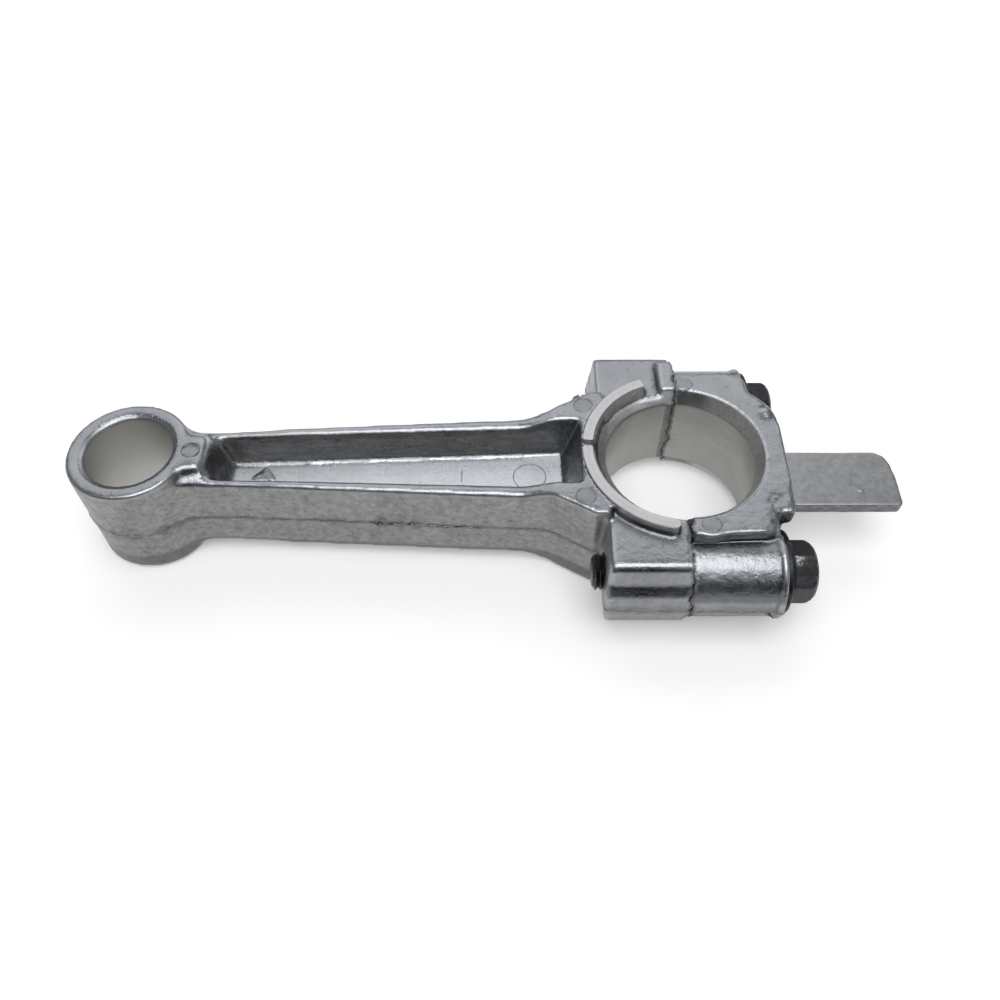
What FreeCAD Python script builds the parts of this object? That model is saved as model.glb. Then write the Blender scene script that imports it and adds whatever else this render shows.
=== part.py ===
"""Connecting rod for a small single-cylinder engine, with its cap and two cap bolts.

Frame: millimetres, +Z along the crankpin bore, +X from the small end towards the oil dipper.
The origin is the centre of the crankpin bore on the parting plane of the casting.
"""
import FreeCAD, Part
import os
import re
import Sketcher

DOC = FreeCAD.newDocument("connecting_rod")
SHEET = DOC.addObject("Spreadsheet::Sheet", "Sizes")

SIZES = [
    # bores and the two ends
    ("centre_distance", 106.0, "wrist-pin bore centre to crankpin bore centre"),
    ("crank_bore_radius", 14.29, "crankpin bore radius"),
    ("wrist_bore_radius", 8.4, "wrist-pin bore radius"),
    ("wrist_chamfer", 1.1, "width of the chamfer at the mouth of the wrist-pin bore"),
    ("wrist_chamfer_depth", 0.55, "depth of that chamfer"),
    ("small_end_radius", 11.75, "outer radius of the small end"),
    ("small_end_top", 11.55, "half height of the small end"),
    ("neck_radius", 8.0, "fillet between the small end and the beam"),
    ("tab_reach", 15.7, "small-end tab, from the wrist-pin axis to its tip"),
    ("tab_half_width", 4.4, "half width of the small-end tab"),
    # beam
    ("beam_start_half", 6.75, "half width of the beam under the small end"),
    ("beam_mid_x", 38.0, "distance of the widest straight station from the origin"),
    ("beam_mid_half", 9.5, "half width of the beam there"),
    ("beam_end_x", 28.5, "where the beam starts to flare"),
    ("beam_end_half", 9.85, "half width of the beam there"),
    ("flange_top", 9.6, "half height of the beam"),
    ("web_half", 3.0, "half thickness of the web"),
    ("floor_start_x", 88.0, "narrow end of the pocket floor"),
    ("floor_start_half", 3.5, "half width of the pocket floor there"),
    ("floor_end_x", 22.2, "wide end of the pocket floor"),
    ("floor_end_half", 6.1, "half width of the pocket floor there"),
    ("mouth_start_x", 92.0, "narrow end of the drafted pocket just over the shoulder"),
    ("mouth_start_half", 5.9, "half width of the pocket there"),
    ("mouth_end_x", 18.6, "wide end of the drafted pocket just over the shoulder"),
    ("mouth_end_half", 7.9, "half width of the pocket there"),
    # flare and shoulder that carry the thrust rib
    ("flare_a_x", 25.0, "first station of the flare"),
    ("flare_a_half", 10.5, "half width there"),
    ("flare_b_x", 20.8, "second station of the flare"),
    ("flare_b_half", 12.9, "half width there"),
    ("flare_c_x", 17.2, "third station of the flare"),
    ("flare_c_half", 15.0, "half width there"),
    ("flare_radius", 6.0, "fillet between the straights of the flare"),
    ("shoulder_top", 11.6, "half height of the shoulder"),
    ("ramp_start_x", 30.0, "where the beam starts to rise to the shoulder"),
    ("ramp_end_x", 24.0, "where the shoulder is reached"),
    # thrust rib
    ("rib_outer", 18.97, "outer radius of the thrust rib"),
    ("rib_inner", 16.96, "inner radius of the thrust rib"),
    ("rib_top", 12.07, "half distance between the machined faces of the two ribs"),
    ("bore_edge", 8.32, "half width of the cylindrical wall of the crankpin bore"),
    ("rib_angle_front", 81.5, "arc of the thrust rib towards -Y in degrees"),
    ("rib_angle_rear", 70.0, "arc of the thrust rib towards +Y in degrees"),
    # bolt bosses of the rod
    ("boss_front", 14.85, "length of the front bolt boss of the rod at its flat top"),
    ("boss_rear", 15.5, "length of the rear bolt boss of the rod at its flat top"),
    ("boss_end_draft", 0.8, "how much longer the bosses are at the parting plane"),
    ("boss_top", 9.6, "half height of the rod bolt boss"),
    ("boss_top_front", 24.9, "front edge of the flat top of the front boss"),
    ("boss_top_rear", 25.9, "rear edge of the flat top of the rear boss"),
    ("boss_mid_half", 28.2, "half width over both bosses at the parting plane"),
    ("lip_width", 2.8, "raised lip on the rear boss beside the split"),
    ("lip_inner", 15.2, "inner end of that lip"),
    ("lip_outer", 24.0, "outer end of that lip"),
    ("boss_inner_half", 8.0, "inner side of the boss block, inside the hub"),
    # cap
    ("cap_top", 11.2, "half height of the cap"),
    ("cap_chamfer_radius", 15.75, "outer radius of the chamfer at the cap side of the bore"),
    ("cap_edge_front", 19.0, "front edge of the cap web over the front boss"),
    ("cap_edge_rear", 20.2, "rear edge of the cap web over the rear boss"),
    ("cap_face_x", 19.6, "outer face of the cap"),
    ("cap_face_half", 13.0, "half width of that face"),
    ("cap_notch_half", 14.6, "half width of the cap beyond the bolt seats"),
    ("seat_front", 17.0, "front bolt seat of the cap"),
    ("seat_rear", 15.0, "rear bolt seat of the cap"),
    ("cap_boss_radius", 8.3, "radius of the cap bolt bosses"),
    ("collar_radius", 8.75, "radius of the rim at the bolt seat"),
    ("collar_width", 1.1, "width of that rim"),
    ("head_clearance_radius", 9.3, "clearance around the bolt heads"),
    # oil dipper
    ("dipper_tip_x", 43.3, "tip of the oil dipper"),
    ("dipper_half", 6.63, "half width of the dipper"),
    ("dipper_top", 2.5, "upper face of the dipper"),
    ("dipper_bottom", -0.2, "lower face of the dipper"),
    ("dipper_corner_rear", 2.4, "size of the rear corner of the dipper"),
    ("dipper_corner_front", 0.6, "size of the front corner of the dipper"),
    # bolts
    ("bolt_offset", 20.2, "bolt axis to crankpin axis"),
    ("bolt_radius", 3.5, "bolt shank radius"),
    ("bolt_clearance", 0.06, "radial clearance of the bolt in its holes"),
    ("bolt_length", 34.6, "bolt length under its flange"),
    ("bolt_tip_chamfer", 0.8, "chamfer at the bolt tip"),
    ("flange_radius", 7.85, "radius of the bolt flange"),
    ("flange_rim", 0.9, "thickness of the flange rim"),
    ("flange_cone", 1.9, "axial length of the flange including its cone"),
    ("cone_radius", 6.0, "small radius of the flange cone"),
    ("head_height", 6.6, "height of the bolt head over its seat"),
    ("hex_flats", 10.3, "head size across flats"),
    ("head_chamfer", 0.9, "length of the chamfer at the end of the head"),
]


def fill_sheet():
    """Write the driving dimensions, one row each: name, value, meaning."""
    for row, (name, value, meaning) in enumerate(SIZES, start=1):
        SHEET.set("A%d" % row, name)
        SHEET.set("B%d" % row, repr(value))
        SHEET.set("C%d" % row, meaning)
        SHEET.setAlias("B%d" % row, name)
    DOC.recompute()


def size(name):
    """Value of one named dimension, read from the sheet."""
    return float(SHEET.get(name))


def bound(expression):
    """The same expression with every dimension name pointing at the sheet."""
    names = {row[0] for row in SIZES}
    return re.sub(
        "[a-z][a-z_]*",
        lambda word: "Sizes." + word.group(0) if word.group(0) in names else word.group(0),
        expression,
    )


def value_of(expression):
    """Number that an expression of dimension names gives."""
    result = SHEET.evalExpression(expression)
    return float(getattr(result, "Value", result))


def new_body(label):
    """An empty body whose label becomes the file name of the sub-part."""
    body = DOC.addObject("PartDesign::Body", label)
    body.Label = label
    DOC.recompute()
    return body


def plane(body, role):
    """One of the origin planes of a body, found by its role."""
    return next(item for item in body.Origin.OriginFeatures if item.Role == role)


def new_sketch(body, name, role, height="0"):
    """An empty sketch on an origin plane, moved along the plane's normal by an expression."""
    sketch = body.newObject("Sketcher::SketchObject", name)
    sketch.AttachmentSupport = (plane(body, role), [""])
    sketch.MapMode = "FlatFace"
    if height != "0":
        sketch.setExpression(".AttachmentOffset.Base.z", bound(height))
    DOC.recompute()
    return sketch


def pin_point(sketch, geometry, which, across, up):
    """Hold one point of a sketch at two driving distances from the sketch origin."""
    for kind, expression in (("DistanceX", across), ("DistanceY", up)):
        label = "%s_%d_%d" % (kind, geometry, which)
        index = sketch.addConstraint(
            Sketcher.Constraint(kind, -1, 1, geometry, which, value_of(expression))
        )
        sketch.renameConstraint(index, label)
        sketch.setExpression("Constraints." + label, bound(expression))


def add_loop(sketch, corners):
    """Closed chain of straight lines through corners given as pairs of expressions."""
    points = [FreeCAD.Vector(value_of(across), value_of(up), 0) for across, up in corners]
    lines = []
    for here, there in zip(points, points[1:] + points[:1]):
        lines.append(sketch.addGeometry(Part.LineSegment(here, there), False))
    for here, there in zip(lines, lines[1:] + lines[:1]):
        sketch.addConstraint(Sketcher.Constraint("Coincident", here, 2, there, 1))
    for line, (across, up) in zip(lines, corners):
        pin_point(sketch, line, 1, across, up)


def add_circle(sketch, across, up, radius):
    """Circle with its centre and radius driven by expressions."""
    centre = FreeCAD.Vector(value_of(across), value_of(up), 0)
    normal = FreeCAD.Vector(0, 0, 1)
    circle = sketch.addGeometry(Part.Circle(centre, normal, value_of(radius)), False)
    pin_point(sketch, circle, 3, across, up)
    label = "Radius_%d" % circle
    index = sketch.addConstraint(Sketcher.Constraint("Radius", circle, value_of(radius)))
    sketch.renameConstraint(index, label)
    sketch.setExpression("Constraints." + label, bound(radius))


def volume_of(body):
    """Volume of a body after a recompute."""
    DOC.recompute()
    return body.Shape.Volume if body.Tip else 0.0


def grow(body, sketch, name, length, midplane=True, reverse=False):
    """Pad a sketch and make sure that it added material."""
    before = volume_of(body)
    pad = body.newObject("PartDesign::Pad", name)
    pad.Profile = sketch
    pad.Midplane = midplane
    pad.Reversed = reverse
    pad.setExpression("Length", bound(length))
    if volume_of(body) <= before:
        raise RuntimeError(name + " added nothing")
    return pad


def turn(body, sketch, name, axis, degrees="360", cut=False):
    """Turn a sketch about a sketch axis, adding material or cutting a groove."""
    before = volume_of(body)
    kind = "PartDesign::Groove" if cut else "PartDesign::Revolution"
    feature = body.newObject(kind, name)
    feature.Profile = sketch
    feature.ReferenceAxis = axis
    feature.Midplane = True
    feature.setExpression("Angle", bound(degrees))
    changed = volume_of(body) - before
    if (changed >= 0) == cut:
        raise RuntimeError(name + " changed nothing")
    return feature


def cut_through(body, sketch, name):
    """Cut a sketch through the whole body in both directions."""
    before = volume_of(body)
    pocket = body.newObject("PartDesign::Pocket", name)
    pocket.Profile = sketch
    pocket.Type = "ThroughAll"
    pocket.Midplane = True
    if volume_of(body) >= before:
        raise RuntimeError(name + " cut nothing")
    return pocket


def cut_depth(body, sketch, name, length, reverse, draft="0"):
    """Cut a sketch to a depth on one side, with drafted walls."""
    before = volume_of(body)
    pocket = body.newObject("PartDesign::Pocket", name)
    pocket.Profile = sketch
    pocket.Reversed = reverse
    pocket.setExpression("Length", bound(length))
    if draft != "0":
        pocket.setExpression("TaperAngle", bound(draft))
    if volume_of(body) >= before:
        raise RuntimeError(name + " cut nothing")
    return pocket


def mirrored_loop(points):
    """Corners listed along one side, followed by the same corners on the other side."""
    other = [(across, "-(" + up + ")") for across, up in reversed(points)]
    return points + other


def round_uprights(body, name, radius, from_x, to_x, beyond_y):
    """Fillet the full-height upright edges between two x stations, on both sides of the rod."""
    DOC.recompute()
    base = body.Tip
    low, high, side = value_of(from_x), value_of(to_x), value_of(beyond_y)
    picked = []
    for index, edge in enumerate(base.Shape.Edges, start=1):
        box = edge.BoundBox
        upright = box.ZLength > size("flange_top") and box.XLength + box.YLength < 1e-3
        if upright and low < box.Center.x < high and abs(box.Center.y) > side:
            picked.append("Edge%d" % index)
    if not picked:
        raise RuntimeError(name + " found no edges")
    fillet = body.newObject("PartDesign::Fillet", name)
    fillet.Base = (base, picked)
    fillet.setExpression("Radius", bound(radius))
    DOC.recompute()
    return fillet


# ---------------------------------------------------------------- connecting rod

def beam_with_shoulder(body):
    """Plan of the beam and its flare, with the side profile of the flanges cut from it."""
    plan = new_sketch(body, "BeamPlan", "XY_Plane")
    add_loop(plan, mirrored_loop([
        ("-centre_distance", "beam_start_half"),
        ("-centre_distance + small_end_radius + neck_radius", "beam_start_half + 0.3"),
        ("-beam_mid_x", "beam_mid_half"),
        ("-beam_end_x", "beam_end_half"),
        ("-flare_a_x", "flare_a_half"),
        ("-flare_b_x", "flare_b_half"),
        ("-flare_c_x", "flare_c_half"),
        ("-boss_front + 0.6", "flare_c_half"),
    ]))
    grow(body, plan, "Beam", "2 * shoulder_top")
    side = new_sketch(body, "FlangeProfile", "XZ_Plane")
    for sign in ("", "-"):
        add_loop(side, [
            ("-centre_distance", sign + "flange_top"),
            ("-ramp_start_x", sign + "flange_top"),
            ("-ramp_end_x", sign + "shoulder_top"),
            ("-ramp_end_x", sign + "(2 * shoulder_top)"),
            ("-centre_distance", sign + "(2 * shoulder_top)"),
        ])
    cut_through(body, side, "FlangeCut")


def small_end(body):
    """Round small end with the tab that reaches over the beam."""
    ring = new_sketch(body, "SmallEndRing", "XY_Plane")
    add_circle(ring, "-centre_distance", "0", "small_end_radius")
    grow(body, ring, "SmallEnd", "2 * small_end_top")
    tab = new_sketch(body, "SmallEndTab", "XY_Plane")
    add_loop(tab, mirrored_loop([
        ("-centre_distance", "tab_half_width"),
        ("-centre_distance + tab_reach - 1.5", "tab_half_width"),
        ("-centre_distance + tab_reach", "tab_half_width - 2"),
    ]))
    grow(body, tab, "Tab", "2 * small_end_top")


def big_end_half(body):
    """Half hub with the conical mouth, the thrust ribs and the two bolt bosses."""
    hub = new_sketch(body, "HubProfile", "XZ_Plane")
    add_loop(hub, [
        ("-crank_bore_radius + 1", "bore_edge"),
        ("-crank_bore_radius", "bore_edge"),
        ("-(crank_bore_radius + rib_inner) / 2", "boss_top"),
        ("-rib_outer", "boss_top"),
        ("-rib_outer", "-boss_top"),
        ("-(crank_bore_radius + rib_inner) / 2", "-boss_top"),
        ("-crank_bore_radius", "-bore_edge"),
        ("-crank_bore_radius + 1", "-bore_edge"),
    ])
    turn(body, hub, "Hub", (hub, ["V_Axis"]), "180")
    for name, sign, length, top_edge in (
        ("Front", "-", "boss_front", "boss_top_front"),
        ("Rear", "", "boss_rear", "boss_top_rear"),
    ):
        rod_boss(body, name, sign, length, top_edge)


def rod_boss(body, name, sign, length, top_edge):
    """One bolt boss: flat top, rounded side and an end face drafted to the parting plane."""
    profile = new_sketch(body, name + "BossProfile", "YZ_Plane")
    half = [
        ("(boss_inner_half + 6)", "boss_top"),
        (top_edge, "boss_top"),
        ("(" + top_edge + " + 1.1)", "boss_top - 1.1"),
        ("(boss_mid_half - 0.9)", "boss_top / 2"),
        ("boss_mid_half", "1"),
    ]
    upper = [(sign + across, up) for across, up in half]
    lower = [(sign + across, "-(" + up + ")") for across, up in reversed(half)]
    add_loop(profile, upper + lower)
    full = length + " + boss_end_draft"
    grow(body, profile, name + "Boss", full, midplane=False, reverse=True)
    end = new_sketch(body, name + "BossDraft", "XZ_Plane", sign_height(sign))
    for flip in ("", "-"):
        add_loop(end, [
            ("-(" + full + ")", flip + "0.6"),
            ("-" + length, flip + "boss_top"),
            ("-" + length, flip + "(boss_top + 1)"),
            ("-(" + full + " + 1)", flip + "(boss_top + 1)"),
            ("-(" + full + " + 1)", flip + "0.6"),
        ])
    cut_depth(body, end, name + "BossDraftCut", "boss_mid_half", sign == "-")


def sign_height(sign):
    """Distance of the draft sketch along the -Y normal of the XZ plane."""
    return "flare_c_half" if sign == "-" else "-flare_c_half"


def split_lip(body):
    """Raised lip on the rear boss beside the split, level with the cap."""
    plan = new_sketch(body, "SplitLipPlan", "XY_Plane")
    add_loop(plan, [
        ("0", "lip_inner"),
        ("0", "lip_outer"),
        ("-lip_width", "lip_outer"),
        ("-lip_width", "lip_inner + 1"),
        ("-lip_width + 1", "lip_inner"),
    ])
    grow(body, plan, "SplitLip", "2 * cap_top")


def thrust_ribs(body):
    """Raised thrust ribs on both faces of the rod half, one longer towards the front bolt."""
    ribs = new_sketch(body, "RibProfile", "XZ_Plane")
    for sign in ("", "-"):
        add_loop(ribs, [
            ("-rib_inner + 0.6", sign + "(boss_top - 1)"),
            ("-rib_inner", sign + "rib_top"),
            ("-rib_outer", sign + "rib_top"),
            ("-rib_outer", sign + "(boss_top - 1)"),
        ])
    before = volume_of(body)
    rib = body.newObject("PartDesign::Revolution", "ThrustRibs")
    rib.Profile = ribs
    rib.ReferenceAxis = (ribs, ["V_Axis"])
    rib.Type = "TwoAngles"
    rib.setExpression("Angle", bound("rib_angle_front"))
    rib.setExpression("Angle2", bound("rib_angle_rear"))
    if volume_of(body) <= before:
        raise RuntimeError("the thrust ribs added nothing")


def beam_pockets(body):
    """Drafted pocket in each face of the beam, leaving the web between them."""
    for name, sign in (("Upper", ""), ("Lower", "-")):
        floor = new_sketch(body, name + "PocketFloor", "XY_Plane", sign + "web_half")
        add_loop(floor, mirrored_loop([
            ("-floor_start_x", "floor_start_half"),
            ("-floor_end_x", "floor_end_half"),
        ]))
        mouth = new_sketch(body, name + "PocketMouth", "XY_Plane", sign + "(shoulder_top + 1)")
        add_loop(mouth, mirrored_loop([
            ("-mouth_start_x", "mouth_start_half"),
            ("-mouth_end_x", "mouth_end_half"),
        ]))
        before = volume_of(body)
        loft = body.newObject("PartDesign::SubtractiveLoft", name + "Pocket")
        loft.Profile = floor
        loft.Sections = [mouth]
        loft.Ruled = True
        if volume_of(body) >= before:
            raise RuntimeError(name + " pocket cut nothing")


def crank_bore(body, name, mouth_radius, mouth_height):
    """Crankpin bore with a conical mouth at both faces."""
    bore = new_sketch(body, name + "BoreProfile", "XZ_Plane")
    over = mouth_height + " + 3"
    wide = "%s + (%s - crank_bore_radius) * 3 / (%s - bore_edge)" % (
        mouth_radius, mouth_radius, mouth_height)
    add_loop(bore, [
        ("0", over),
        (wide, over),
        ("crank_bore_radius", "bore_edge"),
        ("crank_bore_radius", "-bore_edge"),
        (wide, "-(" + over + ")"),
        ("0", "-(" + over + ")"),
    ])
    turn(body, bore, name + "Bore", (bore, ["V_Axis"]), "360", cut=True)


def wrist_bore(body):
    """Wrist-pin bore with a small chamfer at both mouths."""
    profile = new_sketch(body, "WristBoreProfile", "XZ_Plane")
    over = "small_end_top + 1"
    wide = "(wrist_bore_radius + wrist_chamfer * (wrist_chamfer_depth + 1) / wrist_chamfer_depth)"
    deep = "(small_end_top - wrist_chamfer_depth)"
    add_loop(profile, [
        ("-centre_distance", over),
        ("-centre_distance + " + wide, over),
        ("-centre_distance + wrist_bore_radius", deep),
        ("-centre_distance + wrist_bore_radius", "-" + deep),
        ("-centre_distance + " + wide, "-(" + over + ")"),
        ("-centre_distance", "-(" + over + ")"),
    ])
    axis = profile.addGeometry(
        Part.LineSegment(
            FreeCAD.Vector(-value_of("centre_distance"), -1, 0),
            FreeCAD.Vector(-value_of("centre_distance"), 1, 0),
        ),
        True,
    )
    pin_point(profile, axis, 1, "-centre_distance", "-1")
    pin_point(profile, axis, 2, "-centre_distance", "1")
    turn(body, profile, "WristBore", (profile, ["Axis0"]), "360", cut=True)


def bolt_holes(body):
    """Two running-fit holes for the cap bolts, through everything on the bolt axes."""
    holes = new_sketch(body, "BoltHoles", "YZ_Plane")
    for sign in ("", "-"):
        add_circle(holes, sign + "bolt_offset", "0", "bolt_radius + bolt_clearance")
    cut_through(body, holes, "BoltHoleCut")


def make_rod():
    """The rod: small end, beam, shoulder, thrust ribs and the half of the big end."""
    body = new_body("connecting_rod")
    beam_with_shoulder(body)
    small_end(body)
    round_uprights(body, "NeckFillet", "neck_radius", "-centre_distance + small_end_radius / 2",
                   "-floor_start_x", "tab_half_width + 1")
    round_uprights(body, "FlareFillet", "flare_radius", "-ramp_start_x",
                   "-flare_b_x + 1", "beam_mid_half")
    big_end_half(body)
    split_lip(body)
    beam_pockets(body)
    crank_bore(body, "Rod", "rib_inner", "rib_top")
    thrust_ribs(body)
    wrist_bore(body)
    bolt_holes(body)
    return body


# ---------------------------------------------------------------- cap

def cap_web(body):
    """Flat-topped middle of the cap, stepped back at the front seat and rounded at the rear."""
    plan = new_sketch(body, "CapPlan", "XY_Plane")
    add_loop(plan, [
        ("0", "-cap_edge_front"),
        ("seat_front - 1.4", "-cap_edge_front + 0.6"),
        ("seat_front - 1.1", "-cap_notch_half"),
        ("cap_face_x - 0.6", "-cap_notch_half"),
        ("cap_face_x", "-cap_face_half"),
        ("cap_face_x", "cap_face_half / 2"),
        ("cap_face_x - 0.5", "cap_face_half - 3.5"),
        ("cap_face_x - 1.6", "cap_face_half - 0.9"),
        ("seat_rear + 1.2", "cap_notch_half - 0.4"),
        ("seat_rear", "cap_notch_half + 0.4"),
        ("seat_rear - 0.4", "cap_edge_rear - 1.6"),
        ("seat_rear - 1.4", "cap_edge_rear"),
        ("0", "cap_edge_rear"),
    ])
    grow(body, plan, "CapWeb", "2 * cap_top")


def cap_boss(body, name, sign, seat):
    """One round bolt boss with a slightly larger rim at its seat and room for the bolt head."""
    boss = new_sketch(body, name + "CapBossCircle", "YZ_Plane")
    add_circle(boss, sign + "bolt_offset", "0", "cap_boss_radius")
    grow(body, boss, name + "CapBoss", seat, midplane=False)
    rim = new_sketch(body, name + "CapRimCircle", "YZ_Plane", seat + " - collar_width")
    add_circle(rim, sign + "bolt_offset", "0", "collar_radius")
    grow(body, rim, name + "CapRim", "collar_width", midplane=False)
    room = new_sketch(body, name + "HeadRoomCircle", "YZ_Plane", seat)
    add_circle(room, sign + "bolt_offset", "0", "head_clearance_radius")
    cut_depth(body, room, name + "HeadRoom", "cap_face_x", True)


def dipper(body):
    """Flat oil dipper that stands out of the cap on the parting plane."""
    plan = new_sketch(body, "DipperPlan", "XY_Plane", "dipper_bottom")
    add_loop(plan, [
        ("cap_face_x - 2", "-dipper_half"),
        ("dipper_tip_x - dipper_corner_front", "-dipper_half"),
        ("dipper_tip_x", "-dipper_half + dipper_corner_front"),
        ("dipper_tip_x", "0"),
        ("dipper_tip_x - 0.4", "dipper_half - 1.2 * dipper_corner_rear"),
        ("dipper_tip_x - 0.5 * dipper_corner_rear", "dipper_half - 0.4 * dipper_corner_rear"),
        ("dipper_tip_x - 1.2 * dipper_corner_rear", "dipper_half"),
        ("cap_face_x - 2", "dipper_half"),
    ])
    grow(body, plan, "Dipper", "dipper_top - dipper_bottom", midplane=False)


def make_cap():
    """The cap: web, bolt bosses, half bore and the oil dipper."""
    body = new_body("bearing_cap")
    cap_web(body)
    cap_boss(body, "Front", "-", "seat_front")
    cap_boss(body, "Rear", "", "seat_rear")
    crank_bore(body, "Cap", "cap_chamfer_radius", "cap_top")
    dipper(body)
    bolt_holes(body)
    return body


# ---------------------------------------------------------------- bolts

def make_bolt(label, side, seat):
    """Hex-flange bolt along X, seated at x = 0 of its own frame and placed on its bolt seat."""
    body = new_body(label)
    profile = new_sketch(body, "BoltProfile", "XY_Plane")
    add_loop(profile, [
        ("-bolt_length", "0"),
        ("-bolt_length", "bolt_radius - bolt_tip_chamfer"),
        ("-bolt_length + bolt_tip_chamfer", "bolt_radius"),
        ("0", "bolt_radius"),
        ("0", "flange_radius"),
        ("flange_rim", "flange_radius"),
        ("flange_cone", "cone_radius"),
        ("flange_cone", "0"),
    ])
    turn(body, profile, "BoltShank", (profile, ["H_Axis"]))
    outline = new_sketch(body, "HexOutline", "YZ_Plane", "flange_rim")
    corner = "hex_flats / 2 / cos(30)"
    add_loop(outline, [
        ("0", corner),
        ("hex_flats / 2", corner + " / 2"),
        ("hex_flats / 2", "-" + corner + " / 2"),
        ("0", "-" + corner),
        ("-hex_flats / 2", "-" + corner + " / 2"),
        ("-hex_flats / 2", corner + " / 2"),
    ])
    grow(body, outline, "Hex", "head_height - flange_rim", midplane=False)
    chamfer = new_sketch(body, "HeadChamferProfile", "XY_Plane")
    add_loop(chamfer, [
        ("head_height - head_chamfer", corner + " + 0.1"),
        ("head_height + 0.1", "hex_flats / 2 - 0.4"),
        ("head_height + 0.1", corner + " + 2"),
        ("head_height - head_chamfer", corner + " + 2"),
    ])
    turn(body, chamfer, "HeadChamfer", (chamfer, ["H_Axis"]), "360", cut=True)
    body.setExpression(".Placement.Base.x", bound(seat))
    body.setExpression(".Placement.Base.y", bound("%d * bolt_offset" % side))
    DOC.recompute()
    return body


# ---------------------------------------------------------------- checks and export

def check_document():
    """Stop if any object is in error."""
    for item in DOC.Objects:
        bad = [word for word in item.State if word in ("Invalid", "Error")]
        if bad:
            raise RuntimeError("%s is in error" % item.Label)


def export(body):
    """Write one sub-part to its own file after checking its shape."""
    shape = body.Shape
    if shape.isNull() or not shape.isValid():
        raise RuntimeError(body.Label + " has no valid shape")
    shape.exportStep("parts/%s.step" % body.Label)
    print("%s: volume %.1f mm3, %d solid(s)" % (body.Label, shape.Volume, len(shape.Solids)))


def main():
    """Build every sub-part, check the document and write the files."""
    fill_sheet()
    bodies = [
        make_rod(),
        make_cap(),
        make_bolt("cap_bolt_front", -1, "seat_front"),
        make_bolt("cap_bolt_rear", 1, "seat_rear"),
    ]
    DOC.recompute()
    check_document()
    os.makedirs("parts", exist_ok=True)
    for body in bodies:
        export(body)


main()
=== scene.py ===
"""Connecting rod for a small engine: cast skins, cap bolts, casting marks and a studio.

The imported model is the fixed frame. Every shape below is worked out in millimetres in that
frame and written to the meshes in metres.
"""
import itertools
import math

import bmesh
import bpy
import numpy as np
from bpy.props import FloatProperty, FloatVectorProperty, IntProperty, PointerProperty
from mathutils import Matrix, Vector


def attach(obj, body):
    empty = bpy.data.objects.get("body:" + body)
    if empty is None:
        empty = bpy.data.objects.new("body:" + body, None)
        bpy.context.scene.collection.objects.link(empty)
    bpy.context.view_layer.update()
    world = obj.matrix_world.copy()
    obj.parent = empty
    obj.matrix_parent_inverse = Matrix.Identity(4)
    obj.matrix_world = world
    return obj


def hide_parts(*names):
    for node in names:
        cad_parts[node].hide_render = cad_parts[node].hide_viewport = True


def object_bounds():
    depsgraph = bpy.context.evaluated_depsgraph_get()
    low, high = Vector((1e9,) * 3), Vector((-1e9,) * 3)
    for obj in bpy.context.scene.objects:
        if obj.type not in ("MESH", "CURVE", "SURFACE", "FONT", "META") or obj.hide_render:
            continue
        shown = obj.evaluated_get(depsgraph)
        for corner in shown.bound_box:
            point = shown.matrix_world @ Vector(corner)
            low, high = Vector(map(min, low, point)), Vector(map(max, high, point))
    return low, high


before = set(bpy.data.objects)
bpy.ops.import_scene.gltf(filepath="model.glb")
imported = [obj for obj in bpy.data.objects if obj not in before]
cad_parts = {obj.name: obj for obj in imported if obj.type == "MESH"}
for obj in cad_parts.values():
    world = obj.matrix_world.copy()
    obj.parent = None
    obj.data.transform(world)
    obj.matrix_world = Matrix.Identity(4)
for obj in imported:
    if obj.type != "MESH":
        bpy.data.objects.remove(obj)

bl_info = {
    "name": "Connecting rod",
    "version": (1, 0, 0),
    "blender": (4, 5, 0),
    "location": "View3D > Sidebar > Rod",
    "description": "Cast connecting rod with its cap, cap bolts and casting marks",
    "category": "Object",
}

MM = 0.001
CAD_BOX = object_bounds()

# Places on the rod, in millimetres, as the CAD has them.
CENTRES = 106.0
CRANK_RADIUS = 14.29
CRANK_EDGE = 8.32
WRIST_RADIUS = 8.4
WRIST_EDGE = 11.0
RIB_INNER, RIB_OUTER, RIB_TOP = 16.96, 18.97, 12.07
BOLT_OFFSET = 20.2
SEATS = {"front": 17.0, "rear": 15.0}
SIDES = {"front": -1.0, "rear": 1.0}
# Rod's bosses: length along x, edge height, and half widths where the side starts, at the top
# edges and at the parting line; then the share of the draft's width at each height.
BOSS_LENGTH = 16.0
BOSS_EDGE = 9.6
BOSS_ROOT = 24.0
BOSS_TOPS = {"front": 24.9, "rear": 25.9}
BOSS_FOOT = 28.7
FLARE_HEIGHTS = (0.0, 2.8, 3.3, 4.2, 5.1, 5.6, 9.6)
FLARE_SHARES = (1.0, 0.77, 0.705, 0.517, 0.33, 0.27, 0.0)
# Parting line of the mould: its height, and how far its raised line reaches to each side.
SEAM_Z = -0.75
RIDGE_REACH = 0.55
# Front edge of the cap's plates: how far it is moved out, and further round the pin mark.
LAP = 0.4
LOBE = 0.6
LOBE_RADIUS = 2.0
# Bump on the cap's rear shoulder: centre, radius and height.
BUMP_CENTRE = (17.2, 9.6)
BUMP_RADIUS = 1.5
BUMP_HEIGHT = 0.6
# Smoothing passes of the corners that the mould left rounder.
SOFT_PASSES = 26
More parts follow.
